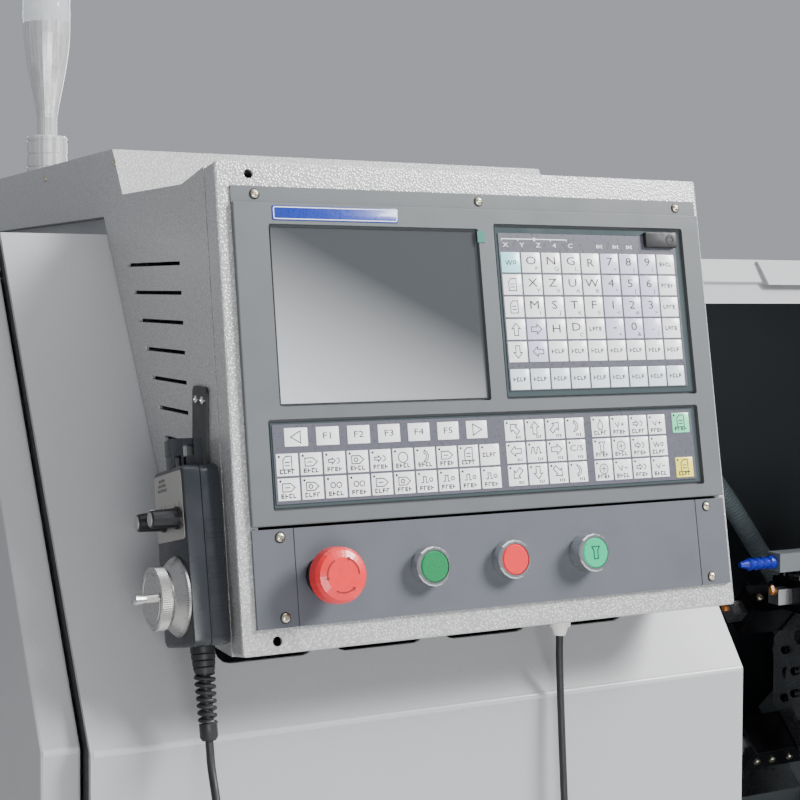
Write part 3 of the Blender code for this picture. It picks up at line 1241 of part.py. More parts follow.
def signal_tower(frame, finish):
    """The tower on the duct: grooved foot, flared body, clear lens with its cap."""
    centre = (TOWER_ACROSS, TOWER_DEPTH, 0)
    low = DUCT_TOP + GAP
    radius = TOWER_FOOT_RADIUS
    groove = EDGE / 2
    profile = [(low, 0), (low, radius)]
    for index in range(TOWER_FOOT_RINGS):
        height = low + TOWER_FOOT_HEIGHT * (index + 0.5) / TOWER_FOOT_RINGS
        profile += [(height, radius), (height + groove, radius - groove), (height + groove + groove, radius)]
    top = low + TOWER_FOOT_HEIGHT
    profile += [(top - EDGE, radius), (top, radius - EDGE), (top, 0)]
    add("tower_base", turned(profile, centre, "Z"), finish["aluminium"], frame, smooth=True)
    start = top + GAP
    neck = start + TOWER_NECK_HEIGHT
    profile = [(start, 0), (start, TOWER_NECK_RADIUS), (neck, TOWER_NECK_RADIUS)]
    steps = ARC_STEPS + 2
    for index in range(1, steps + 1):
        share = index / steps
        swell = math.sin(share * math.pi / 2) ** TOWER_FLARE_POWER
        width = TOWER_NECK_RADIUS + (TOWER_FLARE_RADIUS - TOWER_NECK_RADIUS) * swell
        profile.append((neck + TOWER_FLARE_HEIGHT * share, width))
    profile.append((neck + TOWER_FLARE_HEIGHT, 0))
    add("tower_body", turned(profile, centre, "Z"), finish["aluminium"], frame, smooth=True)
    lens = neck + TOWER_FLARE_HEIGHT + GAP
    crown = lens + TOWER_LENS_HEIGHT
    wide = TOWER_FLARE_RADIUS
    tip = crown + TOWER_CAP_HEIGHT
    profile = [(lens, 0), (lens, wide), (crown, wide), (crown, wide + EDGE),
               ((crown + tip) / 2, wide + EDGE), (tip, wide * TOWER_CAP_SHARE), (tip, 0)]
    add("tower_lens", turned(profile, centre, "Z"), finish["clear"], frame, smooth=True)


def pendant_middle():
    """(y, z) of the pendant's middle on the console's side."""
    return panel_point(PENDANT_DOWN, PENDANT_INWARD)


def pendant_hook(frame, finish):
    """The black plate on the console's side that the pendant hangs on."""
    side = PANEL_LEFT - MARGIN_LEFT - GAP
    top = pendant_middle()[1] + HOOK_RISE
    front = seam_depth(top) + HOOK_SETBACK
    outline = stadium_free(front, front + HOOK_WIDTH, top - HOOK_LENGTH, top, HOOK_CORNER)
    return add("pendant_hook", prism(outline, side - HOOK_THICKNESS, side), finish["black"], frame)


def pendant(hand, finish):
    """The pendant: case, handwheel with its dial, crank grip, two knobs and the strain relief."""
    half = PENDANT_WIDTH / 2
    long = PENDANT_LENGTH / 2
    back = -PENDANT_STANDOFF
    face = back - PENDANT_THICKNESS
    case = add("pendant_case", prism(stadium_free(-half, half, -long, long, CASE_CORNER), face, back),
               finish["black"], hand, bevel=EDGE)
    cut(case, box((face + CASE_NOTCH_DEPTH, -half - OVERRUN, -CASE_NOTCH_LOW),
                  (back - CASE_NOTCH_DEPTH, -half + EDGE, CASE_NOTCH_HIGH)))
    centre = (0, WHEEL_ACROSS, -WHEEL_DROP)
    seat = face - GAP
    rim = seat - WHEEL_STANDOFF
    hub = WHEEL_RADIUS * WHEEL_HUB_SHARE
    profile = [(seat, 0), (seat, DIAL_RADIUS - EDGE / 2), (seat - EDGE / 2, DIAL_RADIUS),
               (seat - DIAL_HEIGHT, DIAL_RADIUS - EDGE), (seat - DIAL_HEIGHT, hub),
               (rim, hub), (rim, WHEEL_RADIUS - EDGE / 2), (rim - EDGE / 2, WHEEL_RADIUS),
               (rim - WHEEL_RIM + EDGE / 2, WHEEL_RADIUS), (rim - WHEEL_RIM, WHEEL_RADIUS - EDGE / 2),
               (rim - WHEEL_RIM, 0)]
    wheel = add("pendant_handwheel", turned(profile, centre, "X", WHEEL_TEETH), finish["aluminium"], hand,
                origin=centre, smooth=True)
    spot = (0, centre[1] - CRANK_OFFSET, centre[2])
    start = rim - WHEEL_RIM - GAP
    grip = [(start - CRANK_LENGTH * along, CRANK_RADIUS * share) for along, share in CRANK_SHARES]
    grip = [(start, 0), *grip, (start - CRANK_LENGTH, 0)]
    add("pendant_crank", turned(grip, spot, "X", SMALL_STEPS), finish["aluminium"], hand, origin=spot,
        smooth=True)
    for name, across in zip(("pendant_axis_knob", "pendant_scale_knob"), KNOB_ACROSS):
        spot = (0, across, KNOB_RISE)
        flange = KNOB_RADIUS * KNOB_FLANGE_SHARE
        knob = [(seat, 0), (seat, flange), (seat - EDGE, flange), (seat - EDGE, KNOB_RADIUS),
                (seat - KNOB_LENGTH + EDGE / 2, KNOB_RADIUS * KNOB_TAPER_SHARE),
                (seat - KNOB_LENGTH, KNOB_RADIUS * KNOB_END_SHARE), (seat - KNOB_LENGTH, 0)]
        add(name, turned(knob, spot, "X", SMALL_STEPS), finish["black"], hand, origin=spot, smooth=True)
    start = -long - GAP
    profile = [(start, 0), (start, RELIEF_BOOT_RADIUS),
               (start - RELIEF_BOOT_LENGTH, RELIEF_COIL_RADIUS * BOOT_END_SHARE)]
    turn = RELIEF_COIL_LENGTH / RELIEF_COIL_TURNS
    for index in range(RELIEF_COIL_TURNS):
        top = start - RELIEF_BOOT_LENGTH - turn * index
        profile += [(top - turn * along, RELIEF_COIL_RADIUS * share) for along, share in COIL_SHARES]
    end = start - RELIEF_BOOT_LENGTH - RELIEF_COIL_LENGTH
    tip = end - RELIEF_COLLAR_LENGTH
    profile += [(end, RELIEF_COLLAR_RADIUS), (tip, RELIEF_COLLAR_RADIUS * COLLAR_END_SHARE), (tip, 0)]
    middle = (back - PENDANT_THICKNESS / 2, RELIEF_ACROSS, 0)
    add("strain_relief", turned(profile, middle, "Z", SMALL_STEPS), finish["black"], hand, smooth=True)
    return wheel


def hanging(places, top):
    """Places of a hanging cord from (across, depth, share of the height above its inlet)."""
    return [(across, depth, INLET_HEIGHT + (top - INLET_HEIGHT) * share)
            for across, depth, share in places]


def cords(frame, hand_place, finish):
    """The pendant's cable and the console's cable, each hanging down to its inlet."""
    drop = -PENDANT_LENGTH / 2 - RELIEF_BOOT_LENGTH - RELIEF_COIL_LENGTH - RELIEF_COLLAR_LENGTH - GAP - GAP
    tilt = math.radians(PENDANT_TILT_DEG)
    middle = pendant_middle()
    depth = middle[0] + RELIEF_ACROSS * math.cos(tilt) + drop * math.sin(tilt)
    height = middle[1] + drop * math.cos(tilt) - RELIEF_ACROSS * math.sin(tilt)
    across = hand_place - PENDANT_STANDOFF - PENDANT_THICKNESS / 2
    inlet = -INLET_LENGTH - GAP - GAP
    route = [(across, depth, height),
             (across, depth - CORD_LEAD * math.sin(tilt), height - CORD_LEAD * math.cos(tilt)),
             *hanging(PENDANT_CORD_PLACES, height), (PENDANT_INLET_ACROSS, inlet, INLET_HEIGHT)]
    tube("pendant_cable", route, CORD_RADIUS, CORD_STEP, finish["black"], frame)
    top = panel_point(PANEL_HEIGHT + MARGIN_BOTTOM, RIM_DEPTH)[1] - GAP - EDGE
    centre = (GLAND_ACROSS, GLAND_DEPTH, 0)
    profile = [(top - GLAND_LENGTH * along, GLAND_RADIUS * share) for along, share in GLAND_SHARES]
    profile = [(top, 0), *profile, (top - GLAND_LENGTH, 0)]
    add("console_gland", turned(profile, centre, "Z", SMALL_STEPS), finish["white"], frame, smooth=True)
    low = top - GLAND_LENGTH - GAP - GAP
    route = [(GLAND_ACROSS, GLAND_DEPTH, low), (GLAND_ACROSS, GLAND_DEPTH, low - CORD_LEAD),
             *hanging(CONSOLE_CORD_PLACES, low), (CONSOLE_INLET_ACROSS, inlet, INLET_HEIGHT)]
    tube("console_cable", route, CORD_RADIUS, CORD_STEP, finish["black"], frame)


def centre_on_floor(frame):
    """Move the machine frame so that the solids are centred over the world's origin."""
    bpy.context.view_layer.update()
    solids = [item for item in bpy.data.objects if item.type == "MESH" and not item.hide_render]
    corners = [item.matrix_world @ vert.co for item in solids for vert in item.data.vertices]
    for axis in (0, 1):
        values = [corner[axis] for corner in corners]
        frame.location[axis] -= (min(values) + max(values)) / 2


def build():
    """Make the whole machine."""
    clear_scene()
    finish = paints()
    frame = empty("machine_frame")
    panel = empty("console_frame", frame, (PANEL_LEFT, 0, PANEL_TOP_HEIGHT), -TILT)
    side = PANEL_LEFT - MARGIN_LEFT
    hand = empty("pendant_frame", frame, (side, *pendant_middle()),
                 -math.radians(PENDANT_TILT_DEG))
    for maker in (machine_base, slant_bed, headstock, chuck, chuck_jaws, ball_screw, saddle, cross_slide,
                  turret_disc, tool_holders, tailstock, end_panels, front_cover, roof_panel, rear_panel,
                  right_cover, sill_cover, door_header, sliding_door, guards, coolant_hose,
                  coolant_nozzle, console_housing, signal_tower, pendant_hook):
        maker(frame, finish)
    for maker in (console_cover, controller_bezel, lcd_screen, keypads, button_panel, emergency_stop):
        maker(panel, finish)
    for name, across, height in (("green", GREEN_ACROSS, RING_HEIGHT), ("red", RED_ACROSS, RING_HEIGHT),
                                 ("lit", LIT_ACROSS, LIT_RING_HEIGHT)):
        cap = finish["lit_green"] if name == "lit" else finish[name]
        button(name, across, height, cap, panel, finish)
    pendant(hand, finish)
    cords(frame, side, finish)
    centre_on_floor(frame)


build()
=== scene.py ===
"""The looks of the CNC turning lathe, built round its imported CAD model.

Metres, in the row frame of the model. Places on the machine are given in its own frame, whose zero
is at the left end, on the upright front plane and on the floor. Places on the console's panel are
(across, down) from its top left corner, and places on the pendant are in the pendant's own frame.
"""
import math

import bmesh
import bpy
from mathutils import Matrix, Vector

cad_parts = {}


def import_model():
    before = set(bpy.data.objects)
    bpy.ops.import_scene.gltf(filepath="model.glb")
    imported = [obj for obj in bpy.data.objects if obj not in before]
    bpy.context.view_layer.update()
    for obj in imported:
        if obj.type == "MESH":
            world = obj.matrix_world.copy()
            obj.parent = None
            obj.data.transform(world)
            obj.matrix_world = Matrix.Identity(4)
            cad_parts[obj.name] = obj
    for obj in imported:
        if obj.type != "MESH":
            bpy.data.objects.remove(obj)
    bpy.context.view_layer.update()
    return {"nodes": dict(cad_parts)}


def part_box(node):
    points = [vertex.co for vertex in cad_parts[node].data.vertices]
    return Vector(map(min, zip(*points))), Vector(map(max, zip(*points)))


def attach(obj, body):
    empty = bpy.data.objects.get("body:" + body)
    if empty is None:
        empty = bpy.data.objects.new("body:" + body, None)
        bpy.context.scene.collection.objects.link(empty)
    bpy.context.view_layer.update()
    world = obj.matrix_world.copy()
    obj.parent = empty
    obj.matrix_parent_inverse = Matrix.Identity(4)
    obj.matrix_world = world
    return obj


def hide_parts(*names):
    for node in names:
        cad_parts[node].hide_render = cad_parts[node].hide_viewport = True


# Camera, from the photograph's perspective
CAMERA_PLACE = (-1.35369, -1.66028, 1.57387)
CAMERA_RIGHT = (0.88924, -0.45744, 0.00455)
CAMERA_UP = (0.01226, 0.03378, 0.99935)
CAMERA_FORWARD = (0.45730, 0.88860, -0.03565)
CAMERA_LENS = 70.64
CAMERA_SENSOR = 36.0
CAMERA_SHIFT_UP = -0.0667

# Console and pendant places on the machine
PANEL_LEFT = 0.1354
PANEL_TOP_HEIGHT = 1.650
PANEL_TILT = math.radians(9.705)
PENDANT_ACROSS = 0.1245
PENDANT_DEPTH = 0.0023
PENDANT_HEIGHT = 1.3796
PENDANT_TILT = math.radians(12.2)

# Depths on the panel (outwards is negative)
BEZEL_FACE = -0.0045
FLANGE_FACE = -0.0016
BUTTON_FACE = -0.0030
HAIR = 0.0001
PRINT = 0.00005
PRINT_GAP = 0.00001
GAP = 0.0003

# Steps, angles and shares of turned and rounded forms
ROUND_STEPS = 48
FINE_STEPS = 96
SMALL_STEPS = 20
SHARP_ANGLE = math.radians(35.0)
ARC_STEPS = 16
CORNER_STEPS = 3
HEXAGON_SIDES = 6
QUARTER = math.pi / 2
FULL_TURN = 360
HALF_TURN = 180
EIGHTH_TURN = 45
STILL = Matrix.Identity(4)
LEFT_AXES = ((0, 0, -1), (-1, 0, 0), (0, 1, 0))
ROUND_SHARE = 0.3
SHRINK_LIMIT_SHARE = 0.2
MITRE_LIMIT_SHARE = 0.4

# Profiles of screws and bolts, as shares of (height, radius)
DOME_SHARES = ((0, 0), (0, 1), (0.35, 1), (0.75, 0.82), (1, 0.45), (1.06, 0))
CAP_SHARES = ((0, 0), (0, 1), (0.88, 1), (1, 0.9), (1, 0))
SOCKET_SHARES = ((0.45, 0), (0.45, 0.55), (1.5, 0.55), (1.5, 0))
WASHER_SHARES = ((0, 0), (0, 1.35), (0.22, 1.35), (0.22, 0))
HEXAGON_SHARES = ((0.2, 0), (0.2, 1), (0.92, 1), (1, 0.86), (1, 0))
SCREW_RING_SHARES = ((0, 0), (0, 1.25), (0.2, 1.2), (0.2, 0))
RECESS_SHARES = (0.17, 0.55)
END_SHARES = (0.15, 0.85)

# The enclosure
MACHINE_LENGTH = 2.150
MACHINE_DEPTH = 1.250
ROOF_HEIGHT = 1.622
ROOF_DROP = 0.013
FRONT_BREAK_HEIGHT = 1.244
FRONT_SLOPE = math.radians(35.5)
SILL_HEIGHT = 0.800
DOOR_TOP = 1.558
WINDOW_HIGH = 1.500
WINDOW_LOW = 1.290
HANDLE_RADIUS = 0.011
REAR_FACE = 1.2277
END_WIDTH = 0.0294
END_SETBACK = 0.018
COVER_LEFT = 0.0314
COVER_RIGHT = 0.6167
FOLD_RADIUS = 0.004
FOLD_PROUD = 0.0004
FOLD_INSET = 0.002
# Where the dark strip on the left cover's flank runs, and how thick it is: it paints the shade in the gap to
# the end panel
SHADE_STRIP_BAND = (0.0055, 0.0190)
SHADE_STRIP_THICKNESS = 0.0003
LIP = 0.0016
LIP_LOW = 0.063
LIP_FRONT = 0.620
BOLT_RADIUS = 0.0062
BOLT_HEIGHT = 0.0050
DOOR_BOLT_INSET = 0.030
DOOR_BOLT_DROP = 0.022
GASKET_LAP = 0.006
GASKET_WIDTH = 0.016
GASKET_HEIGHT = 0.004
GASKET_BEAD = 0.0064
GASKET_BEAD_HEIGHT = 0.0056
GASKET_CORNER_STEPS = 6
FOOT_SHARES = ((0, 0), (0, 1.3), (1, 1.25), (1.6, 1), (1.6, 0))
ROOF_BOLT_PLACES = (0.700, 1.060, 1.420, 1.780, 2.080)
ROOF_BOLT_DEPTHS = (0.340, 0.760, 1.200)
SIDE_BOLT_HEIGHTS = (0.120, 0.480, 0.900, 1.300)
SIDE_BOLT_DEPTHS = (0.420, 0.820, 1.190)
REAR_BOLT_PLACES = (0.075, 1.000, 1.500, 2.075)
SILL_BOLT_PLACES = (0.660, 1.030, 1.400, 1.770, 2.120)
SILL_BOLT_HEIGHT = 0.770

# The cabinet at the rear
HINGE_LENGTH = 0.090
HINGE_RADIUS = 0.0060
LATCH_INSET = 0.035
LATCH_RADIUS = 0.014
LATCH_HEIGHT = 0.005
LATCH_STEPS = 24
LATCH_PLACE_SHARES = (0.2, 0.8)
LATCH_SHARES = ((0, 0), (0, 1), (1, 0.92), (1, 0))
LATCH_BAR_SHARES = (0.2, 0.7)
LATCH_BAR_RISE = 0.0008
LOUVRE_COUNT = 9
LOUVRE_RISE = 0.080
LOUVRE_PITCH = 0.018
LOUVRE_OFFSET = 0.105
LOUVRE_WIDTH = 0.180
LOUVRE_HEIGHT = 0.008
LOUVRE_DEPTH = 0.0048
SWITCH_INSET = 0.110
SWITCH_DROP = 0.130
SWITCH_SIZE = 0.064
SWITCH_CORNER = 0.0064
SWITCH_ROUND = 0.0004
SWITCH_STEPS = 32
SWITCH_SHARES = ((0.5, 0), (0.5, 0.7), (1, 0.66), (1, 0))
SWITCH_BAR_SHARES = (0.15, 0.62)
SWITCH_BAR_ROUND = 0.0006

# Spindle, turret and bed
SPINDLE_DEPTH = 0.330
SPINDLE_HEIGHT = 0.900
SLANT = math.radians(45.0)
CHUCK_FACE = 0.750
CHUCK_RADIUS = 0.100
CHUCK_BORE_RADIUS = 0.026
CHUCK_LENGTH = 0.090
CHUCK_GROOVE_SHARES = (0.70, 0.30)
SPINDLE_RADIUS = 0.055
GUIDE_WIDTH = 0.022
CHUCK_SCREW_SHARE = 0.62
BORE_LIP = ((0, 4), (1, 3), (1, 1), (0, 0))
JAW_COUNT = 3
JAW_SCREW_PLACES = ((0.0555, 0.026), (0.0780, 0.014))
TURRET_FACE = 1.160
TURRET_REACH = 0.220
TURRET_DEPTH = SPINDLE_DEPTH + TURRET_REACH * math.cos(SLANT)
TURRET_HEIGHT = SPINDLE_HEIGHT + TURRET_REACH * math.sin(SLANT)
TURRET_SIDES = 8
TURRET_RADIUS = 0.115
TURRET_FLAT = TURRET_RADIUS * math.cos(math.pi / TURRET_SIDES)
HUB_PROUD = 0.020
TURRET_SCREWS = ((0.74, 0), (0.34, HUB_PROUD))
SEAT_SCREWS_ALONG = (-0.068, -0.040, -0.012)
SEAT_SCREWS_SIDE = (-0.018, 0.018)
TOOL_STATIONS = (2, 1)
BORING_STATION = 7
EMPTY_STATIONS = (0, 3, 4, 5, 6)
HOLDER_LENGTH = 0.070
HOLDER_WIDTH = 0.058
HOLDER_HEIGHT = 0.042
CAP_SCREW_RADIUS = 0.0055
CAP_SCREW_HEIGHT = 0.0060
SIDE_SCREW_RADIUS = 0.0050
SIDE_SCREW_HEIGHT = 0.0035
TOOL_SCREW_PLACES = (-0.030, -0.008, 0.014, 0.036, 0.058)
TOOL_SCREW_SIDE = 0.020
SIDE_SCREW_PLACES = (-0.024, 0.0, 0.030, 0.056)
PLATE_RISE = 0.0030
PLATE_ROUND = 0.0003
GROUND_PLATE = (-0.020, 0.058, -0.010, 0.010)
SHANK_SIZE = 0.020
SHANK_REACH = 0.022
SHANK_ROUND = 0.0006
INSERT_REACH = 0.004
INSERT_THICKNESS = 0.0045
INSERT_SHAPE = ((-1, 0), (1, -1), (2, 0), (1, 1))
BAR_RADIUS = 0.011
BAR_REACH = 0.026
BAR_STEPS = 24
BAR_SHARES = ((0, 0), (0, 1.4), (0.4, 1.4), (0.5, 1))
HEADSTOCK_RIGHT = 0.600
BED_RIGHT = 2.020
BED_LOW_REACH = 0.190
BED_HIGH_REACH = 0.270
WAY_DROP = 0.210
WAY_INSET = 0.020
WAY_WIDTH = 0.070
WAY_STRIP_INSET = 0.030

# Tower and hood
LENS_CAP = 0.016
LENS_RINGS = 9
LENS_WALL = 0.0026
LENS_RING = ((0, 0), (0.1, 0.0004), (0.5, 0.0009), (0.9, 0.0004), (1, 0))
HOOD_SCREW_SHARES = (0.30, 0.55, 0.85)
HOOD_SCREW_DROP = 0.012

# Looks of the studio
WORLD_COLOUR = (0.90, 0.93, 1.0, 1.0)
WORLD_STRENGTH = 0.42
FLOOR_COLOUR = (0.62, 0.62, 0.61)
FLOOR_ROUGHNESS = 0.6
FLOOR_HALF = 30.0
LIGHTS = (
    ("key_light", (3.0, -3.6, 4.8), (-0.6, -0.4, 1.2), (2.0, 2.0), 660.0),
    ("fill_light", (-1.7, -4.4, 1.1), (-0.9, -0.4, 1.1), (1.6, 1.6), 75.0),
    ("top_light", (0.2, -0.8, 4.8), (0.0, 0.0, 1.0), (3.6, 2.6), 48.0),
    ("rear_light", (1.0, 4.6, 3.0), (0.0, 0.6, 1.0), (3.0, 2.4), 130.0),
)

# Films on the panel, each (left, right, top, bottom) on the panel
FILM_SHEETS = ((0.2232, 0.3954, 0.0309, 0.1568), (0.0205, 0.3955, 0.1762, 0.2338))
FILM_CORNER = 0.0006
FILM_LIFT = -0.00245
FILM_LAYER = 0.0001
KEY_LAYER = 0.0003
KEY_CORNER = 0.0004
KEY_SPACE = 0.0016

# Keys of the main film
MAIN_LEFT = 0.2242
MAIN_TOP = 0.0464
MAIN_PITCH = 0.01887
MAIN_KEY_WIDTH = 0.0173
MAIN_ROW_PITCH = 0.0179
MAIN_KEY_HEIGHT = 0.0163
MAIN_ROW_BREAK = 0.0039
MAIN_LEGENDS = (
    ("zigzag", "O", "N", "G", "R", "7", "8", "9", "word"),
    ("page", "X", "Z", "U", "W", "4", "5", "6", "word"),
    ("page", "M", "S", "T", "F", "1", "2", "3", "word"),
    ("up", "right", "H", "D", "word", "-", "0", ".", "word"),
    ("down", "left", "word", "word", "word", "word", "word", "word", "word"),
    ("word", "word", "word", "word", "word", "word", "word", "word", "word"),
)
MAIN_SECONDS = (" PQL =() ", " YVAB*[] ", " IJKE<#> ", "   C +&/ ", "         ", "         ")
NUMBER_ROWS = (0, 1, 2, 3)
NUMBER_COLUMNS = (5, 6, 7)
KEY_TINTS = {(0, 0): "cyan", (3, 1): "lavender", (4, 1): "lavender"}
HEADER_HEIGHT = 0.0155
SCALE_START = 0.0028
SCALE_END = 0.0640
SCALE_LETTERS = "XYZ4C"
SMALL_WORDS = (0.096, 0.112, 0.1255)
SCALE_LETTER = 0.0052
SCALE_WORD = (0.0064, 0.0028)
SCALE_LINE_SHARE = 0.70
SCALE_TEXT_SHARE = 0.38
SCALE_DOT = 0.0014
TICK = 0.0017

# Keys of the function film
SOFT_KEY_LEFT = 0.0296
SOFT_KEY_PITCH = 0.0252
SOFT_KEY_WIDTH = 0.0183
SOFT_KEY_TOP = 0.1790
SOFT_KEY_BOTTOM = 0.1925
FUNCTION_LEGENDS = ("play_back", "F1", "F2", "F3", "F4", "F5", "play")
KEY_BLOCKS = (
    ((0.0220, 0.2100, 0.1975, 0.2330), "word",
     (("page", "hexagon", "arrow_ring", "hexagon_ring", "arrow_ring", "ring", "turn", "hexagon", "page",
       "word"),
      ("hexagon", "hexagon_ring", "two_rings", "two_rings", "hexagon", "hexagon_ring", "pulse", "pulse",
       "pulse", "pulse"))),
    ((0.2150, 0.2900, 0.1797, 0.2324), "mark",
     (("upleft", "up", "upright", "turn"), ("left", "wave", "right", "C/S"),
      ("downleft", "down", "downright", "return"))),
    ((0.2957, 0.3698, 0.1797, 0.2324), "word",
     (("drop", "plus", "arrow_ring", "plus"), ("stack", "cross_ring", "arrow_ring", "zigzag"),
      ("cross_ring", "minus", "arrow_ring", "minus"))),
)
SINGLE_KEYS = (((0.3754, 0.3926, 0.1789, 0.1953), "green"), ((0.3752, 0.3926, 0.2157, 0.2321), "yellow"))
KEY_PAINTS = ("white", "lavender", "pale_blue", "cyan", "green", "yellow")

# Printing
BIG_LETTER = 0.0094
MIDDLE_LETTER = 0.0066
SMALL_LETTER = 0.0044
LETTER_STRETCH = 1.36
LETTER_STEPS = 2
PRINT_LINE = 0.0007
LAMP_RADIUS = 0.0009
LAMP_ACROSS_SHARE = 0.13
LAMP_UP_SHARE = 0.87
DOT_STEPS = 10
LETTERS_AT_MOST = 3
MIDDLE_SHARE = 0.5
HIGH_LEGEND_SHARE = 0.58
LETTER_PLACE = (0.78, 0.20, SMALL_LETTER)
SECOND_PLACES = {"word": (0.5, 0.2, MIDDLE_LETTER), "mark": (0.70, 0.15, (0.00528, 0.00231))}
WORD_WIDTH_SHARE = 1.90
WORD_HEIGHT_SHARE = 0.50
ICON_REACH_SHARE = 0.74
MARK_WIDTH_SHARE = 0.60
MARK_GAP_SHARE = 0.25
MARK_STROKE_SHARE = 0.24
MARK_STRIDE = 5
MARK_RUNGS = ((1.0, 0.5), (0.0,), (1.0, 0.0), (0.5,), (1.0, 0.5, 0.0), (1.0,))

# Small parts of the panel
SCREW_RADIUS = 0.0033
SCREW_HEIGHT = 0.0016
SCREW_LIFT = 0.000352
SCREW_TURN = 40.0
PANEL_SCREWS = ((0.0187, 0.0060, FLANGE_FACE), (0.2084, 0.0060, FLANGE_FACE),
                (0.4000, 0.0060, FLANGE_FACE), (0.0213, 0.2570, BUTTON_FACE),
                (0.0216, 0.3141, BUTTON_FACE), (0.4019, 0.2570, BUTTON_FACE), (0.4010, 0.3145, BUTTON_FACE))
NAME_PLATE = (0.0306, 0.1342, 0.0148, 0.0258)
PLATE_CORNER = 0.0012
PLATE_LIFT = 0.0005
PLATE_BORDER = 0.0011
CORNER_TAB = (0.2030, 0.2097, 0.0304, 0.0395)
PORT_FLAP = (0.3633, 0.3950, 0.0279, 0.0406)
FLAP_CORNER = 0.0016
FLAP_HEIGHT = 0.0042
FLAP_RING = ((0, 0.36), (4, 0.33), (4, 0.20), (-1, 0.15))
FLAP_RING_PLACE_SHARE = 0.55
PORT_PLACE = (0.012, 1.580)
PORT_SIZE = (0.026, 0.046)
PORT_CORNER = 0.003
PORT_THICKNESS = 0.0022
PORT_ROUND = 0.0003
STOP_DOWN = 0.2866
STOP_ARROWS = 3
STOP_ARROW_SHARE = 0.60
STOP_ARROW_ANGLE = 64
STOP_ARROW_STEPS = 8
STOP_ARROW_WIDTH = 0.0010
STOP_ARROW_RISE = 0.0002
STOP_BARB = 0.0016
STOP_POINT = 0.0024
STOP_RADIUS = 0.0205
STOP_FACE = -0.0361
LIT_ACROSS = 0.2790
LIT_RADIUS = 0.0118
LIT_FACE = -0.0190
LIT_LINE = 0.0006
LIT_RISE = 0.0001

# Pendant
PENDANT_WIDTH = 0.067
PENDANT_LENGTH = 0.129
PENDANT_THICKNESS = 0.028
PENDANT_STANDOFF = 0.0032
PENDANT_FACE = PENDANT_STANDOFF + PENDANT_THICKNESS
CASE_SEAM_SHARE = 0.52
CASE_CORNER = 0.006
CASE_CORNER_STEPS = 5
CASE_ROUND = 0.0022
SEAM_GAP = 0.0008
CASE_WINDOWS = ((0.0190, 0.0093), (0.0040, 0.0140), (-0.0096, 0.0093), (-0.0220, 0.0100),
                (-0.0330, 0.0086), (-0.0495, 0.0175))
CASE_LINE = 0.0009
FACE_MARGIN = 0.0035
FACE_LOW = 0.012
FACE_CORNER = 0.0024
FACE_CORNER_STEPS = 4
FACE_WORDS = ((1.2, 4), (2.2, 5), (3.2, 6))
FACE_WORD_SHARE = 0.40
FACE_WORD_HEIGHT_SHARE = 0.62
HANG_TABS = (((-0.002, 0.0085, 0.0220), (0.012, 0.0210, 0.0315)),
             ((-0.002, -0.002, 0.0285), (0.012, 0.009, 0.0310)),
             ((-0.002, -0.002, 0.0220), (0.012, 0.009, 0.0240)),
             ((-0.001, 0.0165, 0.0135), (0.011, 0.021, 0.0225)),
             ((-0.004, -0.002, 0.0140), (0.014, 0.0080, 0.0210)),
             ((-0.003, -0.002, 0.0072), (0.013, 0.021, 0.0142)))
KNOB_ALONG = (-0.0185, 0.0125)
KNOB_RADIUS = 0.0072
KNOB_LENGTH = 0.021
KNOB_RISE = 0.0275
KNOB_TICKS = 6
KNOB_TICKS_START = 210
KNOB_TICKS_SWEEP = 240
KNOB_TICK_SHARES = (1.35, 1.65)
KNOB_CAP_SHARE = 0.72
KNOB_CAP_RISE = 0.0005
KNOB_CAP_BEVEL = 0.0002
POINTER_WIDTH = 0.0008
POINTER_SHARES = (0.86, 0.93)
POINTER_LENGTH_SHARE = 0.8
POINTER_SETBACK = 0.0006
WHEEL_ALONG = -0.006
WHEEL_DROP = 0.028
WHEEL_STANDOFF = 0.011
WHEEL_RIM = 0.009
WHEEL_RADIUS = 0.023
WHEEL_TEETH = 90
WHEEL_GROOVE_SHARE = 0.84
WHEEL_RECESS = ((0.0006, 0.0003), (0.0006, 0.0012), (0, 0.0015))
KNURL_DEPTH = 0.0005
DIAL_RADIUS = 0.029
DIAL_EDGE = 0.0016
DIAL_NECK_SHARE = 0.86
DIAL_TICK = 0.0034
DIAL_SHORT_SHARE = 0.55
DIAL_LINE = 0.0003
DIAL_MARKS = 100
DIAL_LONG_EVERY = 10
HOOK_SCREW_DROP = 0.010
HOOK_SCREW_RADIUS = 0.00297
HOOK_SCREW_SHARES = (0.27, 0.73)
RELIEF_ALONG = -0.010
BOOT_RADIUS = 0.009
BOOT_LENGTH = 0.019
BOOT_RINGS = 3
BOOT_TAPER = 0.0004
BOOT_RING = ((0.0006, 0), (0, 0.0008), (-0.0006, 0.0002))
BOOT_END_SHARE = 0.85
BOOT_STEPS = 24
COIL_RADIUS = 0.008
COIL_LENGTH = 0.035
COIL_TURNS = 7
COIL_WIRE = 0.0015
WIRE_STEPS = 10
COIL_CORE = 0.0042
COIL_TAPER = 0.0010
COLLAR_RADIUS = 0.0065
COLLAR_LENGTH = 0.012
COLLAR_SHARES = ((0, 0), (0, 1), (-0.8, 1), (-1, 0.75), (-1, 0))
RELIEF_LENGTH = BOOT_LENGTH + COIL_LENGTH + COLLAR_LENGTH
EDGE = 0.002

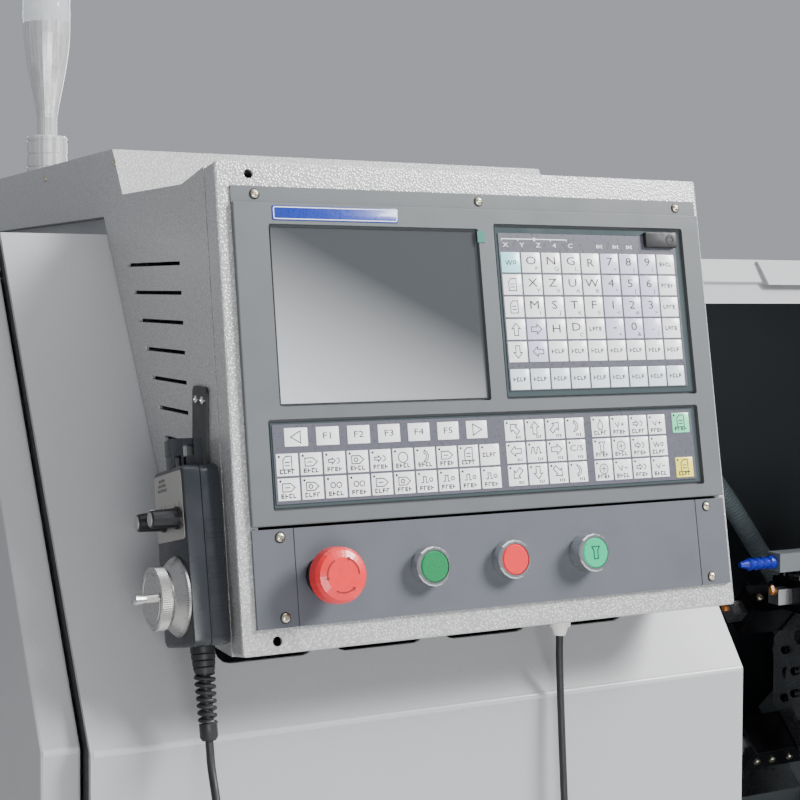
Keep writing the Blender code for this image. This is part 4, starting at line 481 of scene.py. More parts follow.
# Cords and the coolant hose
CORD_RADIUS = 0.003
CORD_STEP = 0.006
CORD_LEAD = 0.016
GLAND_ACROSS = 0.4184
GLAND_DEPTH = -0.010
INLET_LENGTH = 0.012
INLET_HEIGHT = 0.620
PENDANT_INLET_ACROSS = 0.140
CONSOLE_INLET_ACROSS = 0.436
PENDANT_CORD_PLACES = ((0.1075, -0.062, 0.88388), (0.112, -0.068, 0.72604), (0.118, -0.070, 0.53664),
                       (0.126, -0.070, 0.34724), (0.133, -0.066, 0.18941), (0.138, -0.052, 0.07103),
                       (0.140, -0.037, 0.01578), (0.140, -0.024, 0.00158))
CONSOLE_CORD_PLACES = ((0.4200, -0.0115, 0.89014), (0.4240, -0.0140, 0.74179), (0.4280, -0.0200, 0.56376),
                       (0.4315, -0.0300, 0.38573), (0.4340, -0.0400, 0.23737), (0.4355, -0.0450, 0.11869),
                       (0.4360, -0.0400, 0.02967), (0.4360, -0.0240, 0.00148))
HOSE_RADIUS = 0.015
HOSE_SPAN = 0.255
HOSE_LEAD = 0.022
HOSE_GAP = 0.0006
HOSE_STEP = 0.00125
HOSE_RIB = 0.005
HOSE_GROOVE = 0.0022
HOSE_RIB_POWER = 0.6
HOSE_STEPS = 24
HOSE_PLACES = ((0.137, 0.095, 0.050), (0.392, 0.316, 0.060), (0.608, 0.514, 0.060),
               (0.792, 0.686, 0.060), (0.933, 0.859, 0.050))

# Colours, as linear red, green and blue
GREY = (0.40, 0.405, 0.415)
# A grey lighter than the sheet paint: a painted highlight along the folds
FOLD_HIGHLIGHT_GREY = (0.50, 0.50625, 0.51875)
SILVER = (0.56, 0.56, 0.56)
DARK = (0.055, 0.062, 0.068)
IRON = (0.17, 0.19, 0.20)
STEEL = (0.56, 0.56, 0.57)
BLACK_STEEL = (0.035, 0.035, 0.04)
BEZEL = (0.112, 0.122, 0.128)
BUTTON_PLATE = (0.094, 0.101, 0.118)
GROUND = (0.100, 0.100, 0.125)
FRAME_GLOSS = (0.060, 0.080, 0.085)
SCREEN_DARK = (0.060, 0.065, 0.070)
# The light end of the screen's painted reflection
SCREEN_REFLECTION = (0.74, 0.75, 0.77)

# The screen's painted reflection, a gradient: how it leans, and where it starts and ends
SCREEN_LEAN_SHARE = 0.5
SCREEN_REFLECTION_SPAN = (0.975, 1.170)

# Worn edges, on the pendant with a painted sheen as well, and rough patches: the bands of noise that make
# them
WEAR_SAMPLES = 4
WEAR_EDGE = (0.99, 0.80)
WEAR_CELLS = 90.0
WEAR_BAND = (0.35, 0.65)
PATCH_BAND = (0.3, 0.7)

# Hammered paint and the screen
PEBBLE_SOCKETS = {"roughness": 0.36, "metallic": 0.35, "coat_weight": 0.25, "coat_roughness": 0.2}
PEBBLE_CELLS = 520.0
PEBBLE_DEPTH = 0.00024
PEBBLE_BAND = (0.05, 0.62)
# Painted shade in the valleys between the pebbles: its band and its share of the colour
PAINTED_VALLEY_BAND = (0.25, 0.62)
VALLEY_PAINTED_SHADE = 0.78
FLAKE_CELLS = 2600.0
FLAKE_BAND = (0.25, 0.85)
# The flakes' darkest and lightest shares: random flake tone, with painted glints at the light end
FLAKE_TONE_AND_GLINT = (0.90, 1.18)
FLAKE_ROUGHNESS = (0.28, 0.46)
SCREEN_SOCKETS = {"roughness": 0.16, "specular_ior_level": 0.25}
DUST = (700.0, 3.0)
DUST_BAND = (0.4, 0.75)
DUST_ROUGHNESS = (0.12, 0.24)
DUST_DEPTH = 0.000004

# Kinds of finish. Cloud, patches and grain are noises: cells per metre, detail and stretch. Shades are
# the cloud's darkest and lightest share of the colour. Spread is how far the roughness falls and rises
# over the patches, or over the cloud. Speck is a share of the grain's cells, a band and a lighter share.
# Worn and sheen is the radius, the share and the shade of the lighter edges: wear, and on the pendant a
# painted sheen as well.
KINDS = {
    "plain": {"cloud": (3.0,), "shades": (0.98, 1.02)},
    "sheet_paint": {
        "cloud": (2.2, 3.0), "shades": (0.955, 1.03), "roughness": 0.42, "patches": (5.0,),
        "spread": (-0.05, 0.06), "grain": (900.0, 1.0), "depth": 0.00008,
        "speck": (1.3, 0.42, 0.62, 1.06), "worn_and_sheen": (0.0012, 0.35, 1.35),
        "sockets": {"specular_ior_level": 0.4}},
    "moulded": {
        "cloud": (14.0, 3.0), "shades": (0.94, 1.06), "roughness": 0.45, "patches": (40.0,),
        "spread": (-0.06, 0.08), "grain": (1800.0, 2.0), "depth": 0.00003, "worn_and_sheen": (0.0006, 0.5, 1.5),
        "sockets": {"specular_ior_level": 0.45}},
    "gloss": {
        "cloud": (60.0,), "shades": (0.93, 1.05), "roughness": 0.22,
        "patches": (500.0, 2.0, (1.0, 0.08, 1.0)), "spread": (-0.05, 0.08), "grain": (160.0,),
        "depth": 0.00004,
        "sockets": {"coat_weight": 0.5, "coat_roughness": 0.12, "subsurface_weight": 0.04}},
    "brushed": {
        "cloud": (160.0, 4.0, (1.0, 1.0, 14.0)), "shades": (0.93, 1.05), "roughness": 0.3,
        "band": (0.25, 0.75), "spread": (-0.08, 0.10), "depth": 0.00001, "sockets": {"metallic": 1.0}},
    "casting": {
        "cloud": (7.0, 4.0), "shades": (0.85, 1.12), "roughness": 0.5, "patches": (20.0,),
        "spread": (-0.08, 0.12), "grain": (120.0, 5.0), "depth": 0.0006},
    "glass": {
        "cloud": (4.0,), "shades": (0.97, 1.03), "roughness": 0.06, "patches": (30.0, 4.0),
        "band": (0.3, 0.8), "spread": (0.0, 0.05), "sockets": {"coat_weight": 1.0, "coat_roughness": 0.03}},
    "rubber": {
        "cloud": (40.0, 3.0), "shades": (0.8, 1.3), "roughness": 0.5, "patches": (120.0,),
        "spread": (-0.10, 0.10), "grain": (900.0,), "depth": 0.00003,
        "sockets": {"specular_ior_level": 0.5}},
    "printed_film": {
        "cloud": (25.0, 2.0), "shades": (0.97, 1.02), "roughness": 0.3, "patches": (300.0,),
        "spread": (-0.05, 0.06), "grain": (1500.0,), "depth": 0.00001,
        "sockets": {"coat_weight": 0.4, "coat_roughness": 0.15}},
    "lens": {
        "cloud": (80.0,), "shades": (0.9, 1.15), "roughness": 0.14, "patches": (200.0,),
        "spread": (-0.04, 0.06),
        "sockets": {"coat_weight": 0.8, "coat_roughness": 0.05, "emission_strength": 0.35}},
}

# Every finish but the hammered paint and the screen: its kind, material name, colour and own changes
FINISHES = {
    "grey": ("sheet_paint", "grey_sheet_paint", GREY, {}),
    # The folds' paint is lighter and glossier than the sheet: a painted highlight along the bend
    "fold": ("sheet_paint", "grey_fold_highlight_paint", FOLD_HIGHLIGHT_GREY, {"roughness": 0.26}),
    "dark": ("sheet_paint", "dark_guard_paint", DARK,
             {"grain": (700.0, 1.0), "depth": 0.00006, "roughness": 0.38}),
    "iron": ("casting", "casting_paint", IRON, {}),
    "steel": ("brushed", "machined_steel", STEEL, {}),
    "black_steel": ("brushed", "blackened_steel", BLACK_STEEL,
                    {"roughness": 0.34, "cloud": (120.0, 4.0, (14.0, 1.0, 1.0)), "depth": 0.00002}),
    "bezel": ("moulded", "bezel_plastic", BEZEL, {"roughness": 0.46}),
    "button_plate": ("moulded", "button_plate_plastic", BUTTON_PLATE, {"roughness": 0.48}),
    "film_frame": ("moulded", "glossy_film_frame", FRAME_GLOSS,
                   {"roughness": 0.12, "grain": (600.0, 2.0), "depth": 0.00001}),
    "ground": ("printed_film", "film_ground", GROUND, {}),
    "white_key": ("printed_film", "white_key_print", (0.93, 0.94, 0.96), {"roughness": 0.26}),
    "lavender_key": ("printed_film", "lavender_key_print", (0.68, 0.67, 0.84), {"roughness": 0.26}),
    "pale_blue_key": ("printed_film", "pale_blue_key_print", (0.76, 0.86, 0.90), {"roughness": 0.26}),
    "cyan_key": ("printed_film", "cyan_key_print", (0.42, 0.88, 0.95), {"roughness": 0.26}),
    "green_key": ("printed_film", "green_key_print", (0.20, 0.76, 0.42), {"roughness": 0.26}),
    "yellow_key": ("printed_film", "yellow_key_print", (0.95, 0.82, 0.12), {"roughness": 0.26}),
    "ink": ("plain", "dark_print", (0.004, 0.004, 0.008), {"roughness": 0.5}),
    "white_ink": ("plain", "white_print", (0.85, 0.86, 0.88), {"roughness": 0.5}),
    "stop_print": ("plain", "stop_arrow_print", (0.22, 0.01, 0.01), {"roughness": 0.45}),
    "blue_plate": ("gloss", "blue_plate_film", (0.008, 0.035, 0.34), {"roughness": 0.3}),
    "green_film": ("gloss", "green_tab_film", (0.004, 0.17, 0.12), {"roughness": 0.4}),
    "black": ("moulded", "black_moulding", (0.010, 0.011, 0.013), {"roughness": 0.34}),
    # The pendant's edges are drawn twice as light: wear and a painted sheen
    "pendant": ("moulded", "pendant_moulding", (0.021, 0.024, 0.029),
                {"roughness": 0.26, "grain": (1400.0, 2.0), "depth": 0.00002, "worn_and_sheen": (0.0006, 0.5, 2.0)}),
    "rubber": ("rubber", "black_rubber", (0.012, 0.012, 0.014), {}),
    "cord": ("rubber", "cable_jacket", (0.016, 0.016, 0.018), {}),
    "red": ("gloss", "red_moulding", (0.80, 0.012, 0.018), {"roughness": 0.42}),
    "green": ("gloss", "green_moulding", (0.010, 0.22, 0.075), {}),
    "lit_green": ("lens", "lit_green_lens", (0.005, 0.42, 0.20),
                  {"extra": {"emission_color": (0.005, 0.42, 0.20, 1.0)}}),
    "chrome": ("brushed", "plated_ring", (0.72, 0.73, 0.74),
               {"roughness": 0.16, "cloud": (90.0, 4.0), "depth": 0.000004}),
    "zinc": ("brushed", "zinc_screw", (0.62, 0.58, 0.46), {"cloud": (600.0, 4.0)}),
    # The tower's vertical streaks, from half to full colour: brushing grain and painted reflection
    "aluminium": ("brushed", "polished_aluminium", (0.92, 0.92, 0.92),
                  {"roughness": 0.24, "cloud": (260.0, 4.0, (1.0, 1.0, 0.04)), "shades": (0.5, 1.05),
                   "extra": {"metallic": 0.55}}),
    "dial": ("brushed", "turned_aluminium", (0.52, 0.51, 0.50), {"cloud": (260.0, 4.0, (20.0, 1.0, 1.0))}),
    "face_plate": ("brushed", "satin_face_plate", (0.52, 0.50, 0.47),
                   {"roughness": 0.42, "cloud": (300.0, 4.0, (1.0, 1.0, 12.0))}),
    "clear": ("glass", "clear_lens", (0.82, 0.86, 0.88), {"extra": {"alpha": 0.32}}),
    "window": ("glass", "safety_glass", (0.45, 0.52, 0.50), {"extra": {"alpha": 0.30}}),
    "insert": ("gloss", "gold_insert", (0.62, 0.20, 0.03), {"roughness": 0.3}),
    "white": ("moulded", "white_nylon", (0.80, 0.79, 0.75), {"roughness": 0.5}),
    "hose": ("moulded", "hose_plastic", (0.26, 0.32, 0.34),
             {"roughness": 0.42, "grain": (900.0, 2.0), "depth": 0.00004}),
    "blue": ("gloss", "blue_nozzle_plastic", (0.012, 0.022, 0.42), {"roughness": 0.3}),
}

# The finish of every CAD node
NODE_FINISH = {
    "grey": ("left_end_panel", "front_cover", "roof_panel", "rear_panel", "cabinet_door", "right_end_panel",
             "right_cover", "door_header", "sliding_door", "sill_cover"),
    "silver": ("console_housing", "console_cover"),
    "dark": ("headstock_guard", "rear_guard"),
    "iron": ("machine_base", "slant_bed", "headstock", "saddle", "cross_slide", "tailstock"),
    "steel": ("chuck", "chuck_jaw_1", "chuck_jaw_2", "chuck_jaw_3", "z_ball_screw", "turret_disc",
              "tailstock_quill", "door_handle"),
    "black_steel": ("tool_holder_top", "tool_holder_upper", "boring_bar_holder"),
    "bezel": ("controller_bezel",),
    "button_plate": ("button_panel",),
    "screen": ("lcd_screen",),
    "film_frame": ("keypad_main", "keypad_function"),
    "black": ("estop_collar", "pendant_hook", "pendant_axis_knob", "pendant_scale_knob", "pendant_case"),
    "cord": ("strain_relief", "pendant_cable", "console_cable"),
    "red": ("estop_head", "red_button_cap"),
    "green": ("green_button_cap",),
    "lit_green": ("lit_button_cap",),
    "chrome": ("green_button_ring", "red_button_ring", "lit_button_ring"),
    "aluminium": ("tower_base", "tower_body"),
    "dial": ("pendant_handwheel", "pendant_crank"),
    "clear": ("tower_lens",),
    "window": ("door_window",),
    "white": ("console_gland",),
    "hose": ("coolant_hose",),
    "blue": ("coolant_nozzle",),
}


def at(across, along, up):
    """A move by three distances."""
    return Matrix.Translation((across, along, up))


def spin(axis, angle):
    """A turn about an axis."""
    return Matrix.Rotation(angle, 4, axis)


def axes(*rows):
    """A change of axes, from its three rows."""
    return Matrix(rows).to_4x4()


def on_machine(across=0, depth=0, height=0):
    """A frame at a place on the machine, in line with the row frame."""
    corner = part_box("left_end_panel")[0]
    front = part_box("sill_cover")[0]
    return at(corner.x + across, front.y + depth, height)


def machine_box(node):
    """The low and the high corner of a node's box, in the machine's frame."""
    shift = on_machine().translation
    return [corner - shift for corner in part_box(node)]


def panel_place():
    """Moves a place on the console's panel (across, inwards, minus down) to the row frame."""
    return on_machine(PANEL_LEFT, 0, PANEL_TOP_HEIGHT) @ spin("X", -PANEL_TILT)


def hand_place():
    """Moves a place in the pendant's frame to the row frame."""
    return on_machine(PENDANT_ACROSS, PENDANT_DEPTH, PENDANT_HEIGHT) @ spin("X", -PENDANT_TILT)


def facing_panel(across, down, depth):
    """A frame on the panel whose x runs right, y runs up and z points at the operator."""
    return panel_place() @ at(across, depth, -down) @ spin("X", QUARTER)


def facing_left(across, along, up):
    """A frame on the pendant whose x runs forwards, y runs up and z points to the left."""
    return hand_place() @ at(across, along, up) @ axes(*LEFT_AXES)


def facing_right(across, depth, height):
    """A frame on the machine whose x runs backwards, y runs up and z points to the right."""
    return on_machine(across, depth, height) @ axes((0, 0, 1), (1, 0, 0), (0, 1, 0))


def facing_rear(across, height, depth):
    """A frame on the machine whose x runs left, y runs up and z points backwards."""
    return on_machine(across, depth, height) @ spin("Z", math.pi) @ spin("X", QUARTER)


def on_front(across, height):
    """A frame on the enclosure's front: x right, y up along the sheet, z outwards."""
    rise = max(0.0, height - FRONT_BREAK_HEIGHT)
    lean = FRONT_SLOPE if rise else 0.0
    return on_machine(across, rise * math.tan(FRONT_SLOPE), height) @ spin("X", QUARTER - lean)


def chuck_place():
    """The spindle's axis where it leaves the chuck's face; z points at the turret."""
    return on_machine(CHUCK_FACE, SPINDLE_DEPTH, SPINDLE_HEIGHT) @ spin("Y", QUARTER)


def seat_place(station, reach):
    """A frame on one side of the turret's rim: x towards the chuck, z outwards from the axis."""
    angle = math.tau * station / TURRET_SIDES
    return (on_machine(TURRET_FACE, TURRET_DEPTH, TURRET_HEIGHT) @ spin("X", angle - QUARTER)
            @ at(0, 0, reach) @ spin("Z", math.pi))


def camera():
    """A camera at the photograph's place and angle, with its framing."""
    lens = bpy.data.cameras.new("camera")
    lens.lens = CAMERA_LENS
    lens.sensor_width = CAMERA_SENSOR
    lens.shift_y = CAMERA_SHIFT_UP
    made = bpy.data.objects.new("camera", lens)
    columns = (CAMERA_RIGHT, CAMERA_UP, tuple(-value for value in CAMERA_FORWARD))
    made.matrix_world = at(*CAMERA_PLACE) @ Matrix(columns).transposed().to_4x4()
    bpy.context.scene.collection.objects.link(made)
    bpy.context.scene.camera = made


def area_light(name, place, aim, size, power):
    """A soft rectangular light that points at a place."""
    lamp = bpy.data.lights.new(name, "AREA")
    lamp.shape = "RECTANGLE"
    lamp.size, lamp.size_y = size
    lamp.energy = power
    made = bpy.data.objects.new(name, lamp)
    made.location = place
    made.rotation_euler = (Vector(aim) - Vector(place)).to_track_quat("-Z", "Y").to_euler()
    bpy.context.scene.collection.objects.link(made)


def studio():
    """Plain pale floor, plain soft light."""
    world = bpy.data.worlds.new("studio")
    world.use_nodes = True
    sky = world.node_tree.nodes["Background"]
    sky.inputs["Color"].default_value = WORLD_COLOUR
    sky.inputs["Strength"].default_value = WORLD_STRENGTH
    bpy.context.scene.world = world
    for light in LIGHTS:
        area_light(*light)
    shape = bmesh.new()
    bmesh.ops.create_grid(shape, x_segments=1, y_segments=1, size=FLOOR_HALF)
    mesh = bpy.data.meshes.new("studio_floor")
    shape.to_mesh(mesh)
    shape.free()
    floor = bpy.data.objects.new("studio_floor", mesh)
    floor.location.z = -HAIR
    mesh.materials.append(surface("plain", "floor_finish", FLOOR_COLOUR, roughness=FLOOR_ROUGHNESS))
    bpy.context.scene.collection.objects.link(floor)


# Finishes

class Finish:
    """A material under construction, with short ways to add and join its nodes."""

    def __init__(self, name, **sockets):
        self.made = bpy.data.materials.new(name)
        self.made.use_nodes = True
        self.tree = self.made.node_tree
        self.shader = self.tree.nodes["Principled BSDF"]
        for socket, value in sockets.items():
            title = socket.replace("_", " ").title().replace("Ior", "IOR")
            self.shader.inputs[title].default_value = value
        self.place = self.add("TexCoord").outputs["Object"]

    def add(self, kind, settings=None, **inputs):
        """A node with its settings, and its inputs given as values or as other nodes' outputs."""
        made = self.tree.nodes.new("ShaderNode" + kind)
        for name, value in (settings or {}).items():
            setattr(made, name, value)
        for name, value in inputs.items():
            socket = made.inputs[int(name[1:]) if name[0] == "_" else name]
            if isinstance(value, bpy.types.NodeSocket):
                self.tree.links.new(value, socket)
            else:
                socket.default_value = value
        return made

    def sum(self, operation, first, second):
        """The result of a sum on two values."""
        return self.add("Math", {"operation": operation}, _0=first, _1=second).outputs[0]

    def noise(self, scale, detail=2.0, stretch=(1.0, 1.0, 1.0)):
        """Noise in the object's own space; scale is in cells per metre."""
        place = self.add("Mapping", None, Vector=self.place, Scale=stretch).outputs[0]
        return self.add("TexNoise", None, Vector=place, Scale=scale, Detail=detail).outputs["Fac"]

    def cells(self, scale):
        """Cell pattern in the object's own space."""
        return self.add("TexVoronoi", None, Vector=self.place, Scale=scale).outputs

    def ramp(self, value, low, high, start=0.0, end=1.0):
        """Map a value's range onto another one."""
        made = self.add("MapRange", {"clamp": True}, Value=value)
        for name, number in (("From Min", low), ("From Max", high), ("To Min", start), ("To Max", end)):
            made.inputs[name].default_value = number
        return made.outputs[0]

    def blend(self, share, first, second):
        """Mix two colours by a share."""
        return self.add("MixRGB", None, Fac=share, Color1=first, Color2=second).outputs[0]

    def join(self, socket, value):
        """Join a node's output to the shader."""
        self.tree.links.new(value, self.shader.inputs[socket])

    def bump(self, height, distance):
        """Raise the surface by a height in metres."""
        self.join("Normal", self.add("Bump", None, Height=height, Distance=distance).outputs[0])


def shade(colour, share):
    """A colour made lighter or darker."""
    return tuple(min(1.0, value * share) for value in colour) + (1.0,)


def edge_wear_and_sheen(finish, radius, amount):
    """A share that is 1 along sharp edges and 0 on flat ground, broken up by noise."""
    soft = finish.add("Bevel", {"samples": WEAR_SAMPLES}, Radius=radius).outputs[0]
    sharp = finish.add("NewGeometry").outputs["Normal"]
    same = finish.add("VectorMath", {"operation": "DOT_PRODUCT"}, _0=soft, _1=sharp).outputs["Value"]
    edge = finish.ramp(same, *WEAR_EDGE, 0.0, amount)
    return finish.sum("MULTIPLY", edge, finish.ramp(finish.noise(WEAR_CELLS), *WEAR_BAND))


def surface(kind, name, colour, extra=None, **changes):
    """A finish of one of the kinds, apart from its own changes and its extra values for sockets."""
    look = {**KINDS[kind], **changes}
    rough = look["roughness"]
    finish = Finish(name, roughness=rough, **{**look.get("sockets", {}), **(extra or {})})
    cloud = finish.noise(*look["cloud"])
    body = finish.blend(cloud, *[shade(colour, share) for share in look["shades"]])
    if "speck" in look:
        share, low, high, light = look["speck"]
        speck = finish.ramp(finish.noise(look["grain"][0] * share, 1.0), low, high)
        body = finish.blend(speck, body, shade(colour, light))
    # Lighter edges: wear, and where a finish asks for it a painted sheen
    if "worn_and_sheen" in look:
        radius, amount, light = look["worn_and_sheen"]
        body = finish.blend(edge_wear_and_sheen(finish, radius, amount), body, shade(colour, light))
    finish.join("Base Color", body)
    if "spread" in look:
        fall, rise = look["spread"]
        low, high = look.get("band", PATCH_BAND)
        patch = finish.noise(*look["patches"]) if "patches" in look else cloud
        finish.join("Roughness", finish.ramp(patch, low, high, rough + fall, rough + rise))
    if "depth" in look:
        finish.bump(finish.noise(*look["grain"]) if "grain" in look else cloud, look["depth"])
    return finish.made


def pebbled_paint(name, colour):
    """Hammered silver paint: rounded pebbles under a mica flake, with painted shade in the valleys between
    the pebbles and painted glints among the lighter flakes.
    """
    finish = Finish(name, **PEBBLE_SOCKETS)
    pebble = finish.cells(PEBBLE_CELLS)["Distance"]
    flake = finish.cells(FLAKE_CELLS)["Color"]
    # The lighter flakes are partly painted glints
    dark, light = FLAKE_TONE_AND_GLINT
    body = finish.blend(finish.ramp(flake, *FLAKE_BAND), shade(colour, dark), shade(colour, light))
    # Painted shade darkens the valleys between the pebbles
    painted_valley_shade = finish.ramp(pebble, *PAINTED_VALLEY_BAND)
    finish.join("Base Color", finish.blend(painted_valley_shade, body, shade(colour, VALLEY_PAINTED_SHADE)))
    finish.join("Roughness", finish.ramp(flake, 0.0, 1.0, *FLAKE_ROUGHNESS))
    finish.bump(finish.ramp(pebble, *PEBBLE_BAND, 1.0, 0.0), PEBBLE_DEPTH)
    return finish.made


def screen_glass(name, colour):
    """The unlit screen: smooth glass over a painted reflection, a gradient from light to dark across it, and
    some dust.
    """
    finish = Finish(name, **SCREEN_SOCKETS)
    spot = finish.add("SeparateXYZ", None, Vector=finish.place).outputs
    slope = finish.sum("ADD", finish.sum("MULTIPLY", spot[0], SCREEN_LEAN_SHARE), spot[2])
    reflection_share = finish.ramp(slope, *SCREEN_REFLECTION_SPAN)
    # The base colour runs from the light of a painted reflection to the screen's own dark
    finish.join("Base Color", finish.blend(reflection_share, shade(SCREEN_REFLECTION, 1.0), shade(colour, 1.0)))
    dust = finish.noise(*DUST)
    finish.join("Roughness", finish.ramp(dust, *DUST_BAND, *DUST_ROUGHNESS))
    finish.bump(dust, DUST_DEPTH)
    return finish.made


def finishes():
    """Every finish that the machine uses."""
    made = {short: surface(kind, name, colour, **changes)
            for short, (kind, name, colour, changes) in FINISHES.items()}
    made["silver"] = pebbled_paint("pebbled_silver_paint", SILVER)
    made["screen"] = screen_glass("screen_glass", SCREEN_DARK)
    return made


# Building pieces

def rod(low, high, radius):
    """A profile for turning: a plain cylinder."""
    return [(low, 0), (low, radius), (high, radius), (high, 0)]


def scaled(shares, height, radius, base=0):
    """A profile for turning, from shares of a height and of a radius."""
    return [(base + height * up, radius * out) for up, out in shares]


def on_circle(radius, angle):
    """A point on a circle about the origin."""
    return radius * math.cos(angle), radius * math.sin(angle)


def shrunk(outline, distance):
    """An anticlockwise outline with every side moved inwards."""
    if not distance:
        return list(outline)
    points = [Vector(point) for point in outline]
    moved = []
    for index, point in enumerate(points):
        before = (point - points[index - 1]).normalized()
        after = (points[(index + 1) % len(points)] - point).normalized()
        first = Vector((-before.y, before.x))
        middle = (first + Vector((-after.y, after.x))).normalized()
        moved.append(tuple(point + middle * distance / max(SHRINK_LIMIT_SHARE, middle.dot(first))))
    return moved


def rounded(left, right, low, high, radius, steps=CORNER_STEPS):
    """An anticlockwise rectangle with round corners."""
    points = []
    for x, y, start in ((right - radius, low + radius, 3), (right - radius, high - radius, 0),
                        (left + radius, high - radius, 1), (left + radius, low + radius, 2)):
        for step in range(steps + 1):
            across, up = on_circle(radius, QUARTER * (start + step / steps))
            points.append((x + across, y + up))
    return points


def arc(radius, start=0, end=FULL_TURN, steps=ARC_STEPS):
    """Points on an arc about the origin, in degrees."""
    count = steps if end - start == FULL_TURN else steps + 1
    return [on_circle(radius, math.radians(start + (end - start) * step / steps)) for step in range(count)]


def shifted(points, across, scale=1.0):
    """Points made larger or smaller, then moved across."""
    return [(x * scale + across, y * scale) for x, y in points]


def turned_about(points, degrees):
    """Points turned about the origin."""
    cosine, sine = on_circle(1.0, math.radians(degrees))
    return [(x * cosine - y * sine, x * sine + y * cosine) for x, y in points]


# Symbols on a unit square, as lines (points, closed)
ARROW = [(-1.0, -0.38), (0.1, -0.38), (0.1, -0.8), (1.0, 0.0), (0.1, 0.8), (0.1, 0.38), (-1.0, 0.38)]
HEXAGON = [(-1.0, -0.6), (0.3, -0.6), (1.0, 0.0), (0.3, 0.6), (-1.0, 0.6)]
PAGE = [(-0.7, -1.0), (0.7, -1.0), (0.7, 1.0), (-0.2, 1.0), (-0.7, 0.5)]
WAVE = [(-1.0, -0.5), (-0.8, 0.5), (-0.5, 0.5), (-0.3, -0.5), (0.0, -0.5), (0.2, 0.5), (0.5, 0.5),
        (0.7, -0.5), (1.0, -0.3)]
PULSE = [(-1.0, -0.4), (-0.6, -0.4), (-0.6, 0.5), (-0.1, 0.5), (-0.1, -0.4), (0.3, -0.4)]
ZIGZAG = [(-1.0, 0.3), (-0.7, -0.4), (-0.4, 0.3), (-0.1, -0.4), (0.2, 0.3)]
PLAY = [(-0.7, -0.9), (0.9, 0.0), (-0.7, 0.9)]
HOOK = [(-0.9, 0.3), (-0.3, -0.4), (0.0, 0.4)]
DROP = [(0.0, 0.9), (0.5, -0.1), (0.3, -0.7), (-0.3, -0.7), (-0.5, -0.1)]
STACK = [(-0.6, 0.8), (0.6, 0.8), (0.3, 0.3), (0.3, -0.8), (-0.3, -0.8), (-0.3, 0.3)]
CURVED_ARROW = [(-0.1, -0.95), *[on_circle(0.8, step / 10) for step in range(-10, 11, 4)],
                (0.1, 0.95), (0.0, 0.5), *[on_circle(0.45, step / 10) for step in range(9, -12, -4)]]
DOT = arc(0.28, steps=8)
ICONS = {
    "page": [(PAGE, True), ([(-0.4, 0.1), (0.4, 0.1)], False), ([(-0.4, -0.4), (0.4, -0.4)], False)],
    "ring": [(arc(0.8), True)],
    "cross_ring": [(arc(0.8), True), ([(-0.5, 0.0), (0.5, 0.0)], False), ([(0.0, -0.5), (0.0, 0.5)], False)],
    "two_rings": [(shifted(arc(0.4), -0.5), True), (shifted(arc(0.4), 0.5), True)],
    "turn": [(shifted(CURVED_ARROW, -0.2), True)],
    "return": [([(x - 0.2, -y) for x, y in CURVED_ARROW], True)],
    "wave": [(WAVE, False)],
    "pulse": [(PULSE, False), (shifted(DOT, 0.75), True)],
    "zigzag": [(ZIGZAG, False), (shifted(DOT, 0.7), True)],
    "hexagon": [(HEXAGON, True), ([(-0.6, 0.0), (0.2, 0.0)], False)],
    "hexagon_ring": [(HEXAGON, True), (shifted(arc(0.3, steps=8), -0.3), True)],
    "arrow_ring": [(shifted(ARROW, -0.45, 0.55), True), (shifted(arc(0.4, -100, 100, 8), 0.4), False)],
    "plus": [(HOOK, False), ([(0.3, 0.0), (0.9, 0.0)], False), ([(0.6, -0.3), (0.6, 0.3)], False)],
    "minus": [(HOOK, False), ([(0.3, 0.0), (0.9, 0.0)], False)],
    "drop": [(DROP, True)],
    "stack": [(STACK, True)],
    "play": [(PLAY, True)],
    "play_back": [(turned_about(PLAY, HALF_TURN), True)],
}
for turn, way in enumerate(("right", "upright", "up", "upleft", "left", "downleft", "down", "downright")):
    ICONS[way] = [(turned_about(ARROW, EIGHTH_TURN * turn), True)]


